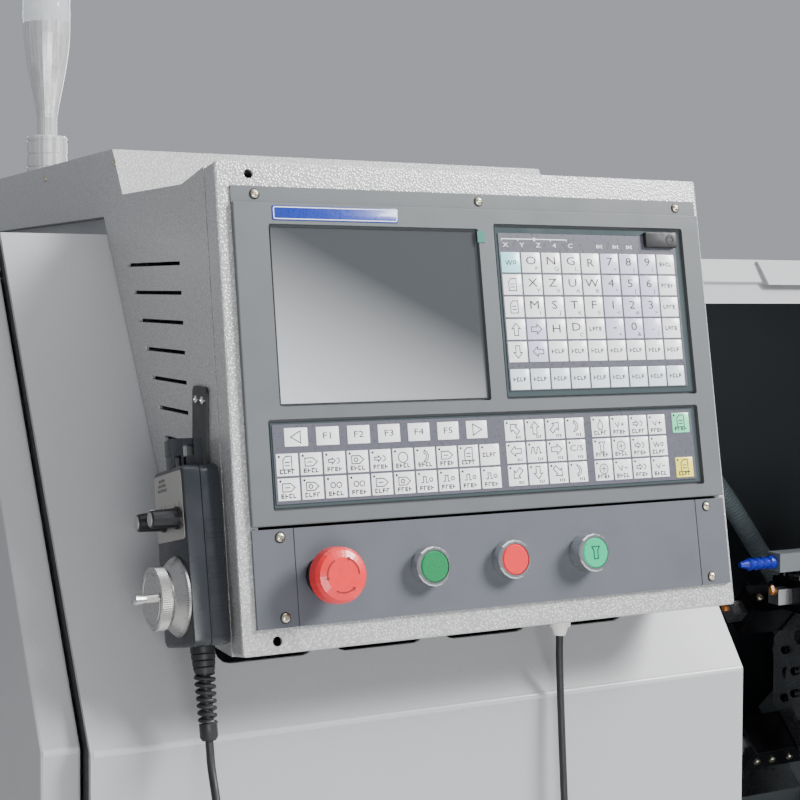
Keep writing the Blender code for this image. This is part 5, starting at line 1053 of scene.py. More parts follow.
class Shape:
    """A growing mesh, whose faces remember which of its finishes they take."""

    finishes = {}

    def __init__(self):
        self.mesh = bmesh.new()

    def keep(self, verts, faces, place=STILL, slot=0):
        """Add vertices and faces, moved to a place."""
        made = [self.mesh.verts.new(place @ Vector(vert)) for vert in verts]
        for face in faces:
            self.mesh.faces.new([made[corner] for corner in face]).material_index = slot

    def turned(self, profile, place=STILL, steps=SMALL_STEPS, slot=0):
        """A turned form about the place's Z axis, from (height, radius) pairs."""
        verts = []
        rings = []
        for height, radius in profile:
            count = steps if radius else 1
            rings.append([len(verts) + step % count for step in range(steps + 1)])
            verts += [(*on_circle(radius, math.tau * step / steps), height) for step in range(count)]
        faces = []
        for low, high in zip(rings, rings[1:]):
            for step in range(steps):
                face = dict.fromkeys((low[step], low[step + 1], high[step + 1], high[step]))
                if len(face) > 2:
                    faces.append(face)
        self.keep(verts, faces, place, slot)

    def tube(self, rings, place=STILL, slot=0, closed=False):
        """A skin over rings of points, with two ends or closed on itself."""
        count = len(rings[0])
        verts = [point for ring in rings for point in ring]
        total = len(verts)
        faces = [] if closed else [list(range(count))[::-1], list(range(total - count, total))]
        for start in range(0, total if closed else total - count, count):
            for step in range(count):
                ahead = (step + 1) % count
                faces.append([start + step, start + ahead, (start + count + ahead) % total,
                              (start + count + step) % total])
        self.keep(verts, faces, place, slot)

    def slab(self, outline, low, high, place=STILL, slot=0, round_off=0.0):
        """A plate with the outline given in x and y, from one height to another, its top edge rounded."""
        edge = round_off * ROUND_SHARE
        levels = [(low, 0.0), (high - round_off, 0.0), (high - edge, edge), (high, round_off)]
        if not round_off:
            levels = [(low, 0.0), (high, 0.0)]
        self.tube([[(*point, height) for point in shrunk(outline, inset)]
                   for height, inset in levels], place, slot)

    def block(self, low, high, place=STILL, slot=0, round_off=0.0):
        """A box between two corners."""
        outline = [(low[0], low[1]), (high[0], low[1]), (high[0], high[1]), (low[0], high[1])]
        self.slab(outline, low[2], high[2], place, slot, round_off)

    def card(self, box, depth, span, corner, slot=0, round_off=0.0):
        """A plate with round corners that covers a box (left, right, top, bottom) of the panel."""
        left, right, top, bottom = box
        place = facing_panel(left, bottom, depth)
        self.slab(rounded(0, right - left, 0, bottom - top, corner), *span, place, slot, round_off)
        return place

    def stamp(self, mesh, place=STILL, slot=0):
        """A copy of a mesh, moved to a place."""
        faces = [face.vertices for face in mesh.polygons]
        self.keep([vert.co for vert in mesh.vertices], faces, place, slot)

    def line(self, points, width, span, place, closed=False, slot=0):
        """A printed line along points given in x and y, between two heights."""
        spots = [Vector(point) for point in points]
        count = len(spots)
        rings = []
        for index, spot in enumerate(spots):
            before = spots[index - 1] if closed or index else spot
            after = spots[(index + 1) % count] if closed or index < count - 1 else spot
            run_out = (after - spot).normalized()
            along = ((spot - before).normalized() + run_out).normalized()
            side = Vector((-along.y, along.x))
            lean = side.dot(Vector((-run_out.y, run_out.x))) if run_out.length else 1.0
            reach = side * width / 2 / max(MITRE_LIMIT_SHARE, lean)
            rings.append([(*(spot + reach), span[0]), (*(spot + reach), span[1]),
                          (*(spot - reach), span[1]), (*(spot - reach), span[0])])
        self.tube(rings, place, slot, closed)

    def marks(self, centre, size, span, place, slot=0):
        """A row of small marks that spell nothing, in place of a word."""
        width, height = size
        stroke = height * MARK_STROKE_SHARE
        count = max(2, round(width / (height * (MARK_WIDTH_SHARE + MARK_GAP_SHARE))))
        pitch = width / count
        mark = pitch - height * MARK_GAP_SHARE
        base = centre[1] - height / 2
        first = len(self.mesh.faces)
        for index in range(count):
            left = centre[0] - width / 2 + pitch * index
            inner = left + stroke
            self.block((left, base, span[0]), (inner, base + height, span[1]), place, slot)
            for rung in MARK_RUNGS[(first + index * MARK_STRIDE) % len(MARK_RUNGS)]:
                foot = base + (height - stroke) * rung
                self.block((inner, foot, span[0]), (left + mark, foot + stroke, span[1]), place, slot)

    def legend(self, letters, legend, centre, size, span, place):
        """One legend: a letter if it is short, a symbol if it has a name."""
        if len(legend) <= LETTERS_AT_MOST and legend not in ICONS:
            if (legend, size) not in letters:
                letters[(legend, size)] = letter_mesh(legend, size, span[1] - span[0])
            self.stamp(letters[(legend, size)], place @ at(*centre, (span[0] + span[1]) / 2))
        elif legend == "word":
            self.marks(centre, (size * WORD_WIDTH_SHARE, size * WORD_HEIGHT_SHARE), span, place)
        else:
            self.symbol(legend, centre, size * ICON_REACH_SHARE, PRINT_LINE, span, place)

    def symbol(self, kind, centre, reach, width, span, place):
        """The lines of one symbol."""
        for points, closed in ICONS[kind]:
            route = [(x * reach + centre[0], y * reach + centre[1]) for x, y in points]
            self.line(route, width, span, place, closed)

    def sweep(self, path, radius_at, steps=SMALL_STEPS):
        """A closed tube along a path; its radius follows the distance along it."""
        tangents = [(path[min(len(path) - 1, index + 1)] - path[max(0, index - 1)]).normalized()
                    for index in range(len(path))]
        side = tangents[0].orthogonal().normalized()
        along = 0.0
        rings = []
        for index, (spot, tangent) in enumerate(zip(path, tangents)):
            if index:
                along += (spot - path[index - 1]).length
                side = (side - tangent * side.dot(tangent)).normalized()
            other = tangent.cross(side)
            ring = [on_circle(radius_at(along), math.tau * step / steps) for step in range(steps)]
            rings.append([spot + side * x + other * y for x, y in ring])
        self.tube(rings)

    def as_mesh(self, name):
        """The finished mesh."""
        bmesh.ops.recalc_face_normals(self.mesh, faces=self.mesh.faces)
        mesh = bpy.data.meshes.new(name)
        self.mesh.to_mesh(mesh)
        self.mesh.free()
        return mesh

    def make(self, name, body, kind, *finishes, smooth=True):
        """Turn it into a piece that rides on a body, with the given finishes in order as its slots."""
        mesh = self.as_mesh(name)
        for finish in finishes:
            mesh.materials.append(self.finishes[finish])
        if smooth:
            mesh.shade_smooth()
            mesh.set_sharp_from_angle(angle=SHARP_ANGLE)
        made = bpy.data.objects.new(name, mesh)
        bpy.context.scene.collection.objects.link(made)
        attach(made, body)
        return made


def carved(body, cutter):
    """The first mesh with the second one cut out of it."""
    base = bpy.data.objects.new("carved", body)
    tool = bpy.data.objects.new("cutter", cutter)
    for item in (base, tool):
        bpy.context.scene.collection.objects.link(item)
    change = base.modifiers.new("cut", "BOOLEAN")
    change.operation = "DIFFERENCE"
    change.solver = "EXACT"
    change.use_self = True
    change.object = tool
    return settled(base, tool)


def settled(made, *others):
    """What an object looks like with its modifiers, as a mesh. The objects themselves go."""
    bpy.context.view_layer.update()
    result = bpy.data.meshes.new_from_object(made.evaluated_get(bpy.context.evaluated_depsgraph_get()))
    for item in (made, *others):
        bpy.data.objects.remove(item, do_unlink=True)
    return result


def letter_mesh(text, size, depth):
    """The mesh of one or more characters, centred, standing up along Z by a depth."""
    curve = bpy.data.curves.new("letter", "FONT")
    curve.body = text
    curve.size = size
    curve.align_x = "CENTER"
    curve.align_y = "CENTER"
    curve.extrude = depth / 2
    curve.resolution_u = LETTER_STEPS
    made = bpy.data.objects.new("letter", curve)
    bpy.context.scene.collection.objects.link(made)
    result = settled(made)
    result.transform(Matrix.Diagonal((LETTER_STRETCH, 1.0, 1.0, 1.0)))
    return result


def cross_screw(radius, height):
    """A dome-headed screw with a cross recess, as a mesh about Z."""
    head = Shape()
    head.turned(scaled(DOME_SHARES, height, radius))
    recess = Shape()
    thin, long = (radius * share for share in RECESS_SHARES)
    for x, y in ((thin, long), (long, thin)):
        recess.block((-x, -y, height / 2), (x, y, height * 3 / 2))
    return carved(head.as_mesh("screw_head"), recess.as_mesh("screw_recess"))


def socket_screw():
    """A cap screw with a hexagon socket, as a mesh about Z."""
    head = Shape()
    head.turned(scaled(CAP_SHARES, CAP_SCREW_HEIGHT, CAP_SCREW_RADIUS))
    hollow = Shape()
    hollow.turned(scaled(SOCKET_SHARES, CAP_SCREW_HEIGHT, CAP_SCREW_RADIUS), steps=HEXAGON_SIDES)
    return carved(head.as_mesh("cap_screw"), hollow.as_mesh("hexagon_socket"))


def hex_bolt():
    """A hexagon bolt head on its washer, as a mesh about Z."""
    shape = Shape()
    shape.turned(scaled(WASHER_SHARES, BOLT_HEIGHT, BOLT_RADIUS))
    shape.turned(scaled(HEXAGON_SHARES, BOLT_HEIGHT, BOLT_RADIUS), steps=HEXAGON_SIDES)
    return shape.as_mesh("hex_bolt")


# The console's panel

def keys():
    """Every key: its box on the panel, paint, legend, second legend and whether it has a lamp."""
    for row, (legends, seconds) in enumerate(zip(MAIN_LEGENDS, MAIN_SECONDS)):
        is_last = row == len(MAIN_LEGENDS) - 1
        top = MAIN_TOP + MAIN_ROW_PITCH * row + (MAIN_ROW_BREAK if is_last else 0)
        for column, (legend, second) in enumerate(zip(legends, seconds)):
            left = MAIN_LEFT + MAIN_PITCH * column
            is_number = row in NUMBER_ROWS and column in NUMBER_COLUMNS
            paint = "pale_blue" if is_last else "lavender" if is_number else "white"
            yield ((left, left + MAIN_KEY_WIDTH, top, top + MAIN_KEY_HEIGHT),
                   KEY_TINTS.get((row, column), paint), legend, second.strip(), False)
    for index, legend in enumerate(FUNCTION_LEGENDS):
        left = SOFT_KEY_LEFT + SOFT_KEY_PITCH * index
        yield (left, left + SOFT_KEY_WIDTH, SOFT_KEY_TOP, SOFT_KEY_BOTTOM), "white", legend, "", False
    for (left, right, top, bottom), second, rows in KEY_BLOCKS:
        pitch = (right - left) / len(rows[0])
        rise = (bottom - top) / len(rows)
        for row, legends in enumerate(rows):
            for column, legend in enumerate(legends):
                x = left + pitch * column
                y = top + rise * row
                yield (x, x + pitch - KEY_SPACE, y, y + rise - KEY_SPACE), "white", legend, second, True
    for box, paint in SINGLE_KEYS:
        yield box, paint, "page", "word", True


def keypad_print():
    """The films, their keys and what is printed on them."""
    films = Shape()
    for box in FILM_SHEETS:
        films.card(box, FILM_LIFT, (0, FILM_LAYER), FILM_CORNER)
    films.make("keypad_films", "machine", "film", "ground", smooth=False)
    caps = Shape()
    marks = Shape()
    letters = {}
    cap = (FILM_LAYER + HAIR, FILM_LAYER + HAIR + KEY_LAYER)
    span = (cap[1] + PRINT_GAP, cap[1] + PRINT_GAP + PRINT)
    for box, paint, legend, second, has_lamp in keys():
        place = caps.card(box, FILM_LIFT, cap, KEY_CORNER, KEY_PAINTS.index(paint), KEY_LAYER / 2)
        width = box[1] - box[0]
        height = box[3] - box[2]
        has_second = second and legend != "word"
        size = BIG_LETTER if len(legend) == 1 else MIDDLE_LETTER
        lift = HIGH_LEGEND_SHARE if has_second else MIDDLE_SHARE
        marks.legend(letters, legend, (width / 2, height * lift), size, span, place)
        if has_second:
            across_share, up_share, size = SECOND_PLACES.get(second, LETTER_PLACE)
            centre = (width * across_share, height * up_share)
            if second == "mark":
                marks.marks(centre, size, span, place)
            else:
                marks.legend(letters, second, centre, size, span, place)
        if has_lamp:
            spot = at(width * LAMP_ACROSS_SHARE, height * LAMP_UP_SHARE, 0)
            marks.turned(rod(*span, LAMP_RADIUS), place @ spot, DOT_STEPS)
    caps.make("key_caps", "machine", "film", *[paint + "_key" for paint in KEY_PAINTS])
    marks.make("key_legends", "machine", "film", "ink", smooth=False)


def film_header():
    """The scale and its small letters along the top of the main film."""
    shape = Shape()
    letters = {}
    left, right, top, bottom = FILM_SHEETS[0]
    place = facing_panel(left, top + HEADER_HEIGHT, FILM_LIFT)
    span = (FILM_LAYER + PRINT_GAP, FILM_LAYER + PRINT_GAP + PRINT)
    line = HEADER_HEIGHT * SCALE_LINE_SHARE
    text = HEADER_HEIGHT * SCALE_TEXT_SHARE
    low = line - TICK
    shape.line([(SCALE_START, low), (SCALE_START, line), (SCALE_END, line), (SCALE_END, low)], PRINT_LINE,
               span, place)
    pitch = (SCALE_END - SCALE_START) / (len(SCALE_LETTERS) - 1)
    for index, letter in enumerate(SCALE_LETTERS):
        across = SCALE_START + pitch * index
        shape.legend(letters, letter, (across + TICK * 2, text), SCALE_LETTER, span, place)
        shape.line([(across, low), (across, line)], PRINT_LINE, span, place)
    shape.turned(rod(*span, SCALE_DOT), place @ at(SCALE_START + pitch * 2, line, 0), DOT_STEPS)
    for across in SMALL_WORDS:
        shape.marks((across, text), SCALE_WORD, span, place)
    shape.make("film_scale", "machine", "film", "white_ink", smooth=False)


def panel_screws():
    """Cross-head screws on the panel's corners, each in a dark ring."""
    head = cross_screw(SCREW_RADIUS, SCREW_HEIGHT)
    shape = Shape()
    for across, down, depth in PANEL_SCREWS:
        place = facing_panel(across, down, depth)
        shape.turned(scaled(SCREW_RING_SHARES, SCREW_HEIGHT, SCREW_RADIUS), place, slot=1)
        shape.stamp(head, place @ at(0, 0, SCREW_LIFT) @ spin("Z", across * SCREW_TURN))
    shape.make("panel_screws", "machine", "chrome", "zinc", "black")


def screen_parts():
    """The blank name plate, the tab at the screen's corner, the flap over the port."""
    plate = Shape()
    place = plate.card(NAME_PLATE, BEZEL_FACE, (HAIR, PLATE_LIFT), PLATE_CORNER, 0, HAIR)
    left, right, top, bottom = NAME_PLATE
    path = rounded(PLATE_BORDER, right - left - PLATE_BORDER, PLATE_BORDER, bottom - top - PLATE_BORDER,
                   PLATE_CORNER)
    plate.line(path, PRINT_LINE, (PLATE_LIFT, PLATE_LIFT + PRINT), place, True, 1)
    plate.make("blank_name_plate", "machine", "bezel", "blue_plate", "white_ink")
    tab = Shape()
    tab.card(CORNER_TAB, BEZEL_FACE - HAIR, (0, PLATE_LIFT), KEY_CORNER)
    tab.make("corner_tab", "machine", "film", "green_film")
    flap = Shape()
    span = (FILM_LAYER + HAIR, FLAP_HEIGHT)
    place = flap.card(PORT_FLAP, FILM_LIFT, span, FLAP_CORNER, 0, FLAP_CORNER / 2)
    left, right, top, bottom = PORT_FLAP
    height = bottom - top
    spot = at(right - left - height * FLAP_RING_PLACE_SHARE, height / 2, 0)
    flap.turned(scaled(FLAP_RING, HAIR, height, FLAP_HEIGHT), place @ spot)
    flap.make("port_flap", "machine", "black", "rubber")


def side_port():
    """The small black plate on the console's right side, with its two screws."""
    place = facing_right(machine_box("console_housing")[1].x, *PORT_PLACE)
    width, height = PORT_SIZE
    shape = Shape()
    shape.slab(rounded(0, width, 0, height, PORT_CORNER), HAIR, PORT_THICKNESS, place, 0, PORT_ROUND)
    head = cross_screw(SCREW_RADIUS, SCREW_HEIGHT)
    for share in END_SHARES:
        shape.stamp(head, place @ at(width / 2, height * share, PORT_THICKNESS), 1)
    shape.make("side_port_plate", "machine", "black", "black", "zinc")


def stop_head_marks():
    """Three turning arrows on the emergency stop's head."""
    low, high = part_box("estop_head")
    across = (panel_place().inverted() @ ((low + high) / 2)).x
    place = facing_panel(across, STOP_DOWN, STOP_FACE)
    shape = Shape()
    for turn in range(STOP_ARROWS):
        start = FULL_TURN / STOP_ARROWS * turn
        points = arc(STOP_RADIUS * STOP_ARROW_SHARE, start, start + STOP_ARROW_ANGLE, STOP_ARROW_STEPS)
        shape.line(points, STOP_ARROW_WIDTH, (0, STOP_ARROW_RISE), place)
        tip = Vector(points[-1])
        out = tip.normalized()
        head = (tip + out * STOP_BARB, tip - out * STOP_BARB, tip + Vector((-out.y, out.x)) * STOP_POINT)
        shape.tube([[(*corner, height) for corner in head] for height in (0, STOP_ARROW_RISE)], place)
    shape.make("stop_arrows", "estop", "red", "stop_print", smooth=False)


def lit_symbol():
    """The dark symbol on the lit button's cap."""
    shape = Shape()
    shape.symbol("stack", (0, 0), LIT_RADIUS / 2, LIT_LINE, (0, LIT_RISE),
                 facing_panel(LIT_ACROSS, STOP_DOWN, LIT_FACE))
    shape.make("lit_button_symbol", "lit_button", "film", "ink", smooth=False)


def hood_screws():
    """The screws that hold the console's hood at its two sides."""
    low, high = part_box("console_housing")
    head = cross_screw(SCREW_RADIUS, SCREW_HEIGHT)
    shape = Shape()
    for share in HOOD_SCREW_SHARES:
        for side, turn in ((low.x, -QUARTER), (high.x, QUARTER)):
            spot = at(side, low.y + (high.y - low.y) * share, high.z - HOOD_SCREW_DROP)
            shape.stamp(head, spot @ spin("Y", turn))
    shape.make("hood_screws", "machine", "chrome", "zinc")


# The cables and the hose

def smooth_route(points, step):
    """Points about one step apart on a smooth curve. The first and last stretches stay straight."""
    places = [Vector(point) for point in points]
    padded = [places[0] * 2 - places[1], *places, places[-1] * 2 - places[-2]]
    result = []
    straight = (places[0], places[-2])
    for a, b, c, d in zip(padded, padded[1:], padded[2:], padded[3:]):
        count = 1 if b in straight else max(1, round((c - b).length / step))
        for index in range(count):
            t = index / count
            result.append(0.5 * (2 * b + (c - a) * t + (2 * a - 5 * b + 4 * c - d) * t ** 2
                                 + (3 * b - a - 3 * c + d) * t ** 3))
    result.append(places[-1])
    return result


def even(points, step):
    """The same path in equal short steps."""
    lengths = [0.0]
    for a, b in zip(points, points[1:]):
        lengths.append(lengths[-1] + (b - a).length)
    count = round(lengths[-1] / step)
    result = []
    place = 0
    for index in range(count + 1):
        target = lengths[-1] * index / count
        while place < len(points) - 2 and lengths[place + 1] < target:
            place += 1
        share = (target - lengths[place]) / (lengths[place + 1] - lengths[place])
        result.append(points[place].lerp(points[place + 1], min(1.0, share)))
    return result


def hanging(places, top):
    """Places of a hanging cord from (across, depth, share of the height above its inlet)."""
    return [(across, depth, INLET_HEIGHT + (top - INLET_HEIGHT) * share) for across, depth, share in places]


def cord(name, route):
    """One cable between the object and its inlet."""
    path = even([on_machine() @ point for point in smooth_route(route, CORD_STEP)], CORD_STEP)
    shape = Shape()
    shape.sweep(path, lambda along: CORD_RADIUS)
    made = shape.make(name + "_jacket", "machine", "cord", "cord")
    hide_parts(name)


def cords():
    """The pendant's cable and the console's cable."""
    across_tilt, up_tilt = math.sin(PENDANT_TILT), math.cos(PENDANT_TILT)
    drop = -PENDANT_LENGTH / 2 - RELIEF_LENGTH - 2 * GAP
    depth = PENDANT_DEPTH + RELIEF_ALONG * up_tilt + drop * across_tilt
    height = PENDANT_HEIGHT + drop * up_tilt - RELIEF_ALONG * across_tilt
    across = PENDANT_ACROSS - PENDANT_STANDOFF - PENDANT_THICKNESS / 2
    end = -INLET_LENGTH - 2 * GAP
    cord("pendant_cable", [(across, depth, height),
                           (across, depth - CORD_LEAD * across_tilt, height - CORD_LEAD * up_tilt),
                           *hanging(PENDANT_CORD_PLACES, height), (PENDANT_INLET_ACROSS, end, INLET_HEIGHT)])
    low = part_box("console_gland")[0].z - 2 * GAP
    cord("console_cable", [(GLAND_ACROSS, GLAND_DEPTH, low), (GLAND_ACROSS, GLAND_DEPTH, low - CORD_LEAD),
                           *hanging(CONSOLE_CORD_PLACES, low), (CONSOLE_INLET_ACROSS, end, INLET_HEIGHT)])


def rib(along):
    """The hose's radius at a distance along it."""
    wave = (1 + math.cos(math.tau * along / HOSE_RIB)) / 2
    return HOSE_RADIUS - HOSE_GROOVE * (1.0 - wave ** HOSE_RIB_POWER)


def corrugated_hose():
    """The ribbed coolant hose, bowed out between its two fittings on the rear guard."""
    low, high = machine_box("coolant_hose")
    left = low.x + HOSE_RADIUS
    top = high.z - HOSE_RADIUS
    right = left + HOSE_SPAN
    foot = low.z + HOSE_RADIUS
    base = high.y + HOSE_GAP
    route = [(left, high.y, top), (left, base - HOSE_LEAD, top)]
    for across_share, down_share, bow in HOSE_PLACES:
        route.append((left + HOSE_SPAN * across_share, base - bow, top + (foot - top) * down_share))
    route += [(right, base - HOSE_LEAD, foot), (right, high.y, foot)]
    path = even([on_machine() @ point for point in smooth_route(route, HOSE_RADIUS)], HOSE_STEP)
    shape = Shape()
    shape.sweep(path, rib, HOSE_STEPS)
    made = shape.make("corrugated_hose", "machine", "hose", "hose")
    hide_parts("coolant_hose")


# The pendant

def pendant_shell():
    """The pendant's two-part moulded case with its seam."""
    half = PENDANT_WIDTH / 2
    long = PENDANT_LENGTH / 2
    seam = PENDANT_STANDOFF + PENDANT_THICKNESS * CASE_SEAM_SHARE
    place = facing_left(0, 0, 0)
    outline = rounded(-half, half, -long, long, CASE_CORNER, CASE_CORNER_STEPS)
    shape = Shape()
    shape.slab(outline, seam + SEAM_GAP, PENDANT_FACE, place, 0, CASE_ROUND)
    shape.slab(shrunk(outline, SEAM_GAP), seam - HAIR, seam + SEAM_GAP + HAIR, place, 1)
    mirrored = place @ Matrix.Diagonal((-1, 1, -1, 1)) @ at(0, 0, -PENDANT_STANDOFF - seam)
    shape.slab(outline, PENDANT_STANDOFF, seam, mirrored, 0, CASE_ROUND)
    made = shape.make("pendant_shell", "machine", "black", "pendant", "black")
    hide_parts("pendant_case")


def pendant_face():
    """The silver face plate, its ticks round the two knobs and its marks in place of words."""
    half = PENDANT_WIDTH / 2
    left = FACE_MARGIN - half
    high = PENDANT_LENGTH / 2 - FACE_MARGIN
    place = facing_left(0, 0, 0)
    base = PENDANT_FACE + PLATE_LIFT
    shape = Shape()
    shape.slab(rounded(left, -left, FACE_LOW, high, FACE_CORNER, FACE_CORNER_STEPS), PENDANT_FACE + HAIR,
               base, place)
    span = (base, base + PRINT)
    for along in KNOB_ALONG:
        for step in range(KNOB_TICKS):
            angle = math.radians(KNOB_TICKS_START - KNOB_TICKS_SWEEP * step / (KNOB_TICKS - 1))
            ends = [on_circle(KNOB_RADIUS * share, angle) for share in KNOB_TICK_SHARES]
            shape.line([(x - along, y + KNOB_RISE) for x, y in ends], PRINT_LINE, span, place, slot=1)
    for drop_share, length_share in FACE_WORDS:
        shape.marks((left * FACE_WORD_SHARE, high - FACE_MARGIN * drop_share),
                    (FACE_MARGIN * length_share, FACE_MARGIN * FACE_WORD_HEIGHT_SHARE), span, place, 1)
    shape.make("pendant_face_plate", "machine", "aluminium", "face_plate", "ink", smooth=False)


def pendant_trim():
    """Recess outlines along the case's side, the tabs that hang it and the hook's two screws."""
    side = hand_place() @ at(0, -PENDANT_WIDTH / 2, 0) @ axes((-1, 0, 0), (0, 0, -1), (0, -1, 0))
    left = PENDANT_STANDOFF + CASE_ROUND
    right = PENDANT_STANDOFF + PENDANT_THICKNESS * CASE_SEAM_SHARE - CASE_ROUND / 2
    shape = Shape()
    for centre, tall in CASE_WINDOWS:
        low = -centre - tall / 2
        shape.line([(left, low), (right, low), (right, low + tall), (left, low + tall)], CASE_LINE,
                   (-HAIR, HAIR), side, True, 1)
    for low, high in HANG_TABS:
        shape.block(low, high, facing_left(0, 0, PENDANT_LENGTH / 2), 0, EDGE / 2)
    shape.make("pendant_trim", "machine", "black", "pendant", "black")
    head = cross_screw(HOOK_SCREW_RADIUS, SCREW_HEIGHT)
    heads = Shape()
    low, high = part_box("pendant_hook")
    for share in HOOK_SCREW_SHARES:
        spot = at(low.x, low.y + (high.y - low.y) * share, high.z - HOOK_SCREW_DROP)
        heads.stamp(head, spot @ axes(*LEFT_AXES))
    heads.make("hook_screws", "machine", "chrome", "chrome")


def handwheel():
    """The pendant's graduated dial and knurled handwheel."""
    place = facing_left(0, WHEEL_ALONG, -WHEEL_DROP)
    face = PENDANT_FACE + GAP
    rim = face + DIAL_EDGE
    low = face + WHEEL_STANDOFF
    high = low + WHEEL_RIM
    neck = WHEEL_RADIUS * DIAL_NECK_SHARE
    groove = WHEEL_RADIUS * WHEEL_GROOVE_SHARE
    ease = EDGE / 2
    profile = [(face, DIAL_RADIUS - HAIR), (face + HAIR, DIAL_RADIUS), (rim, DIAL_RADIUS), (low, neck),
               (low, WHEEL_RADIUS - ease), (low + ease, WHEEL_RADIUS), (high - ease, WHEEL_RADIUS),
               (high, WHEEL_RADIUS - ease), (high, groove),
               *[(high - drop, groove - inset) for drop, inset in WHEEL_RECESS]]
    steps = WHEEL_TEETH * 2
    rings = []
    for height, radius in profile:
        bite = KNURL_DEPTH if radius == WHEEL_RADIUS else 0
        rings.append([(*on_circle(radius - bite * (step % 2), math.tau * step / steps), height)
                      for step in range(steps)])
    shape = Shape()
    shape.tube(rings, place)
    slope = math.atan2(low - rim, DIAL_RADIUS - neck)
    for step in range(DIAL_MARKS):
        length = DIAL_TICK * (DIAL_SHORT_SHARE if step % DIAL_LONG_EVERY else 1.0)
        spot = place @ spin("Z", math.tau * step / DIAL_MARKS) @ at(DIAL_RADIUS, 0, rim) @ spin("Y", slope)
        shape.line([(-HAIR, 0), (-length, 0)], DIAL_LINE, (0, PRINT), spot, slot=1)
    made = shape.make("knurled_handwheel", "handwheel", "aluminium", "dial", "ink")
    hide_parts("pendant_handwheel")


def knob_caps():
    """The bright end of each selector knob and its white pointer."""
    face = PENDANT_FACE + GAP + KNOB_LENGTH
    for body, along in zip(("axis_knob", "scale_knob"), KNOB_ALONG):
        place = facing_left(0, along, KNOB_RISE)
        shape = Shape()
        radius = KNOB_RADIUS * KNOB_CAP_SHARE
        shape.turned([(face + HAIR, 0), (face + HAIR, radius),
                      (face + KNOB_CAP_RISE, radius - KNOB_CAP_BEVEL), (face + KNOB_CAP_RISE, 0)], place)
        shape.make(body + "_end_cap", body, "aluminium", "face_plate")
        mark = Shape()
        near, far = (KNOB_RADIUS * share for share in POINTER_SHARES)
        mark.block((-POINTER_WIDTH / 2, near, face - KNOB_LENGTH * POINTER_LENGTH_SHARE),
                   (POINTER_WIDTH / 2, far, face - POINTER_SETBACK), place)
        mark.make(body + "_pointer", body, "white", "white_ink")


def relief_coil():
    """The pendant's strain relief: a boot, an open coil and a collar."""
    place = hand_place() @ at(-PENDANT_STANDOFF - PENDANT_THICKNESS / 2, RELIEF_ALONG, 0)
    top = -PENDANT_LENGTH / 2 - GAP
    foot = top - BOOT_LENGTH
    low = foot - COIL_LENGTH
    boot = [(top, 0.0), (top, BOOT_RADIUS)]
    for ring in range(BOOT_RINGS):
        height = top - BOOT_LENGTH * (ring + 1) / (BOOT_RINGS + 1)
        boot += [(height + rise, BOOT_RADIUS - BOOT_TAPER * ring - inset) for rise, inset in BOOT_RING]
    boot += [(foot, COIL_RADIUS * BOOT_END_SHARE), (foot, 0.0)]
    shape = Shape()
    shape.turned(boot, place, BOOT_STEPS)
    shape.turned(rod(foot, low, COIL_CORE), place)
    steps = COIL_TURNS * SMALL_STEPS
    path = [place @ Vector((*on_circle(COIL_RADIUS - COIL_WIRE - COIL_TAPER * step / steps,
                                       math.tau * step / SMALL_STEPS), foot - COIL_LENGTH * step / steps))
            for step in range(steps + 1)]
    shape.sweep(path, lambda along: COIL_WIRE, WIRE_STEPS)
    shape.turned(scaled(COLLAR_SHARES, COLLAR_LENGTH, COLLAR_RADIUS, low), place)
    made = shape.make("coiled_strain_relief", "machine", "cord", "rubber")
    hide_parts("strain_relief")


# The machine

def turret_trim():
    """Clamp screws on the turret's face and on its empty seats."""
    cap = socket_screw()
    shape = Shape()
    centre = on_machine(TURRET_FACE, TURRET_DEPTH, TURRET_HEIGHT) @ spin("Y", -QUARTER)
    for index in range(TURRET_SIDES):
        for share, rise in TURRET_SCREWS:
            turn = spin("Z", math.tau * (index + 0.5) / TURRET_SIDES)
            shape.stamp(cap, centre @ turn @ at(TURRET_RADIUS * share, 0, rise))
    for station in EMPTY_STATIONS:
        for along in SEAT_SCREWS_ALONG:
            for side in SEAT_SCREWS_SIDE:
                shape.stamp(cap, seat_place(station, TURRET_FLAT) @ at(along, side, 0), 1)
    shape.make("turret_screws", "turret", "steel", "black_steel", "steel")


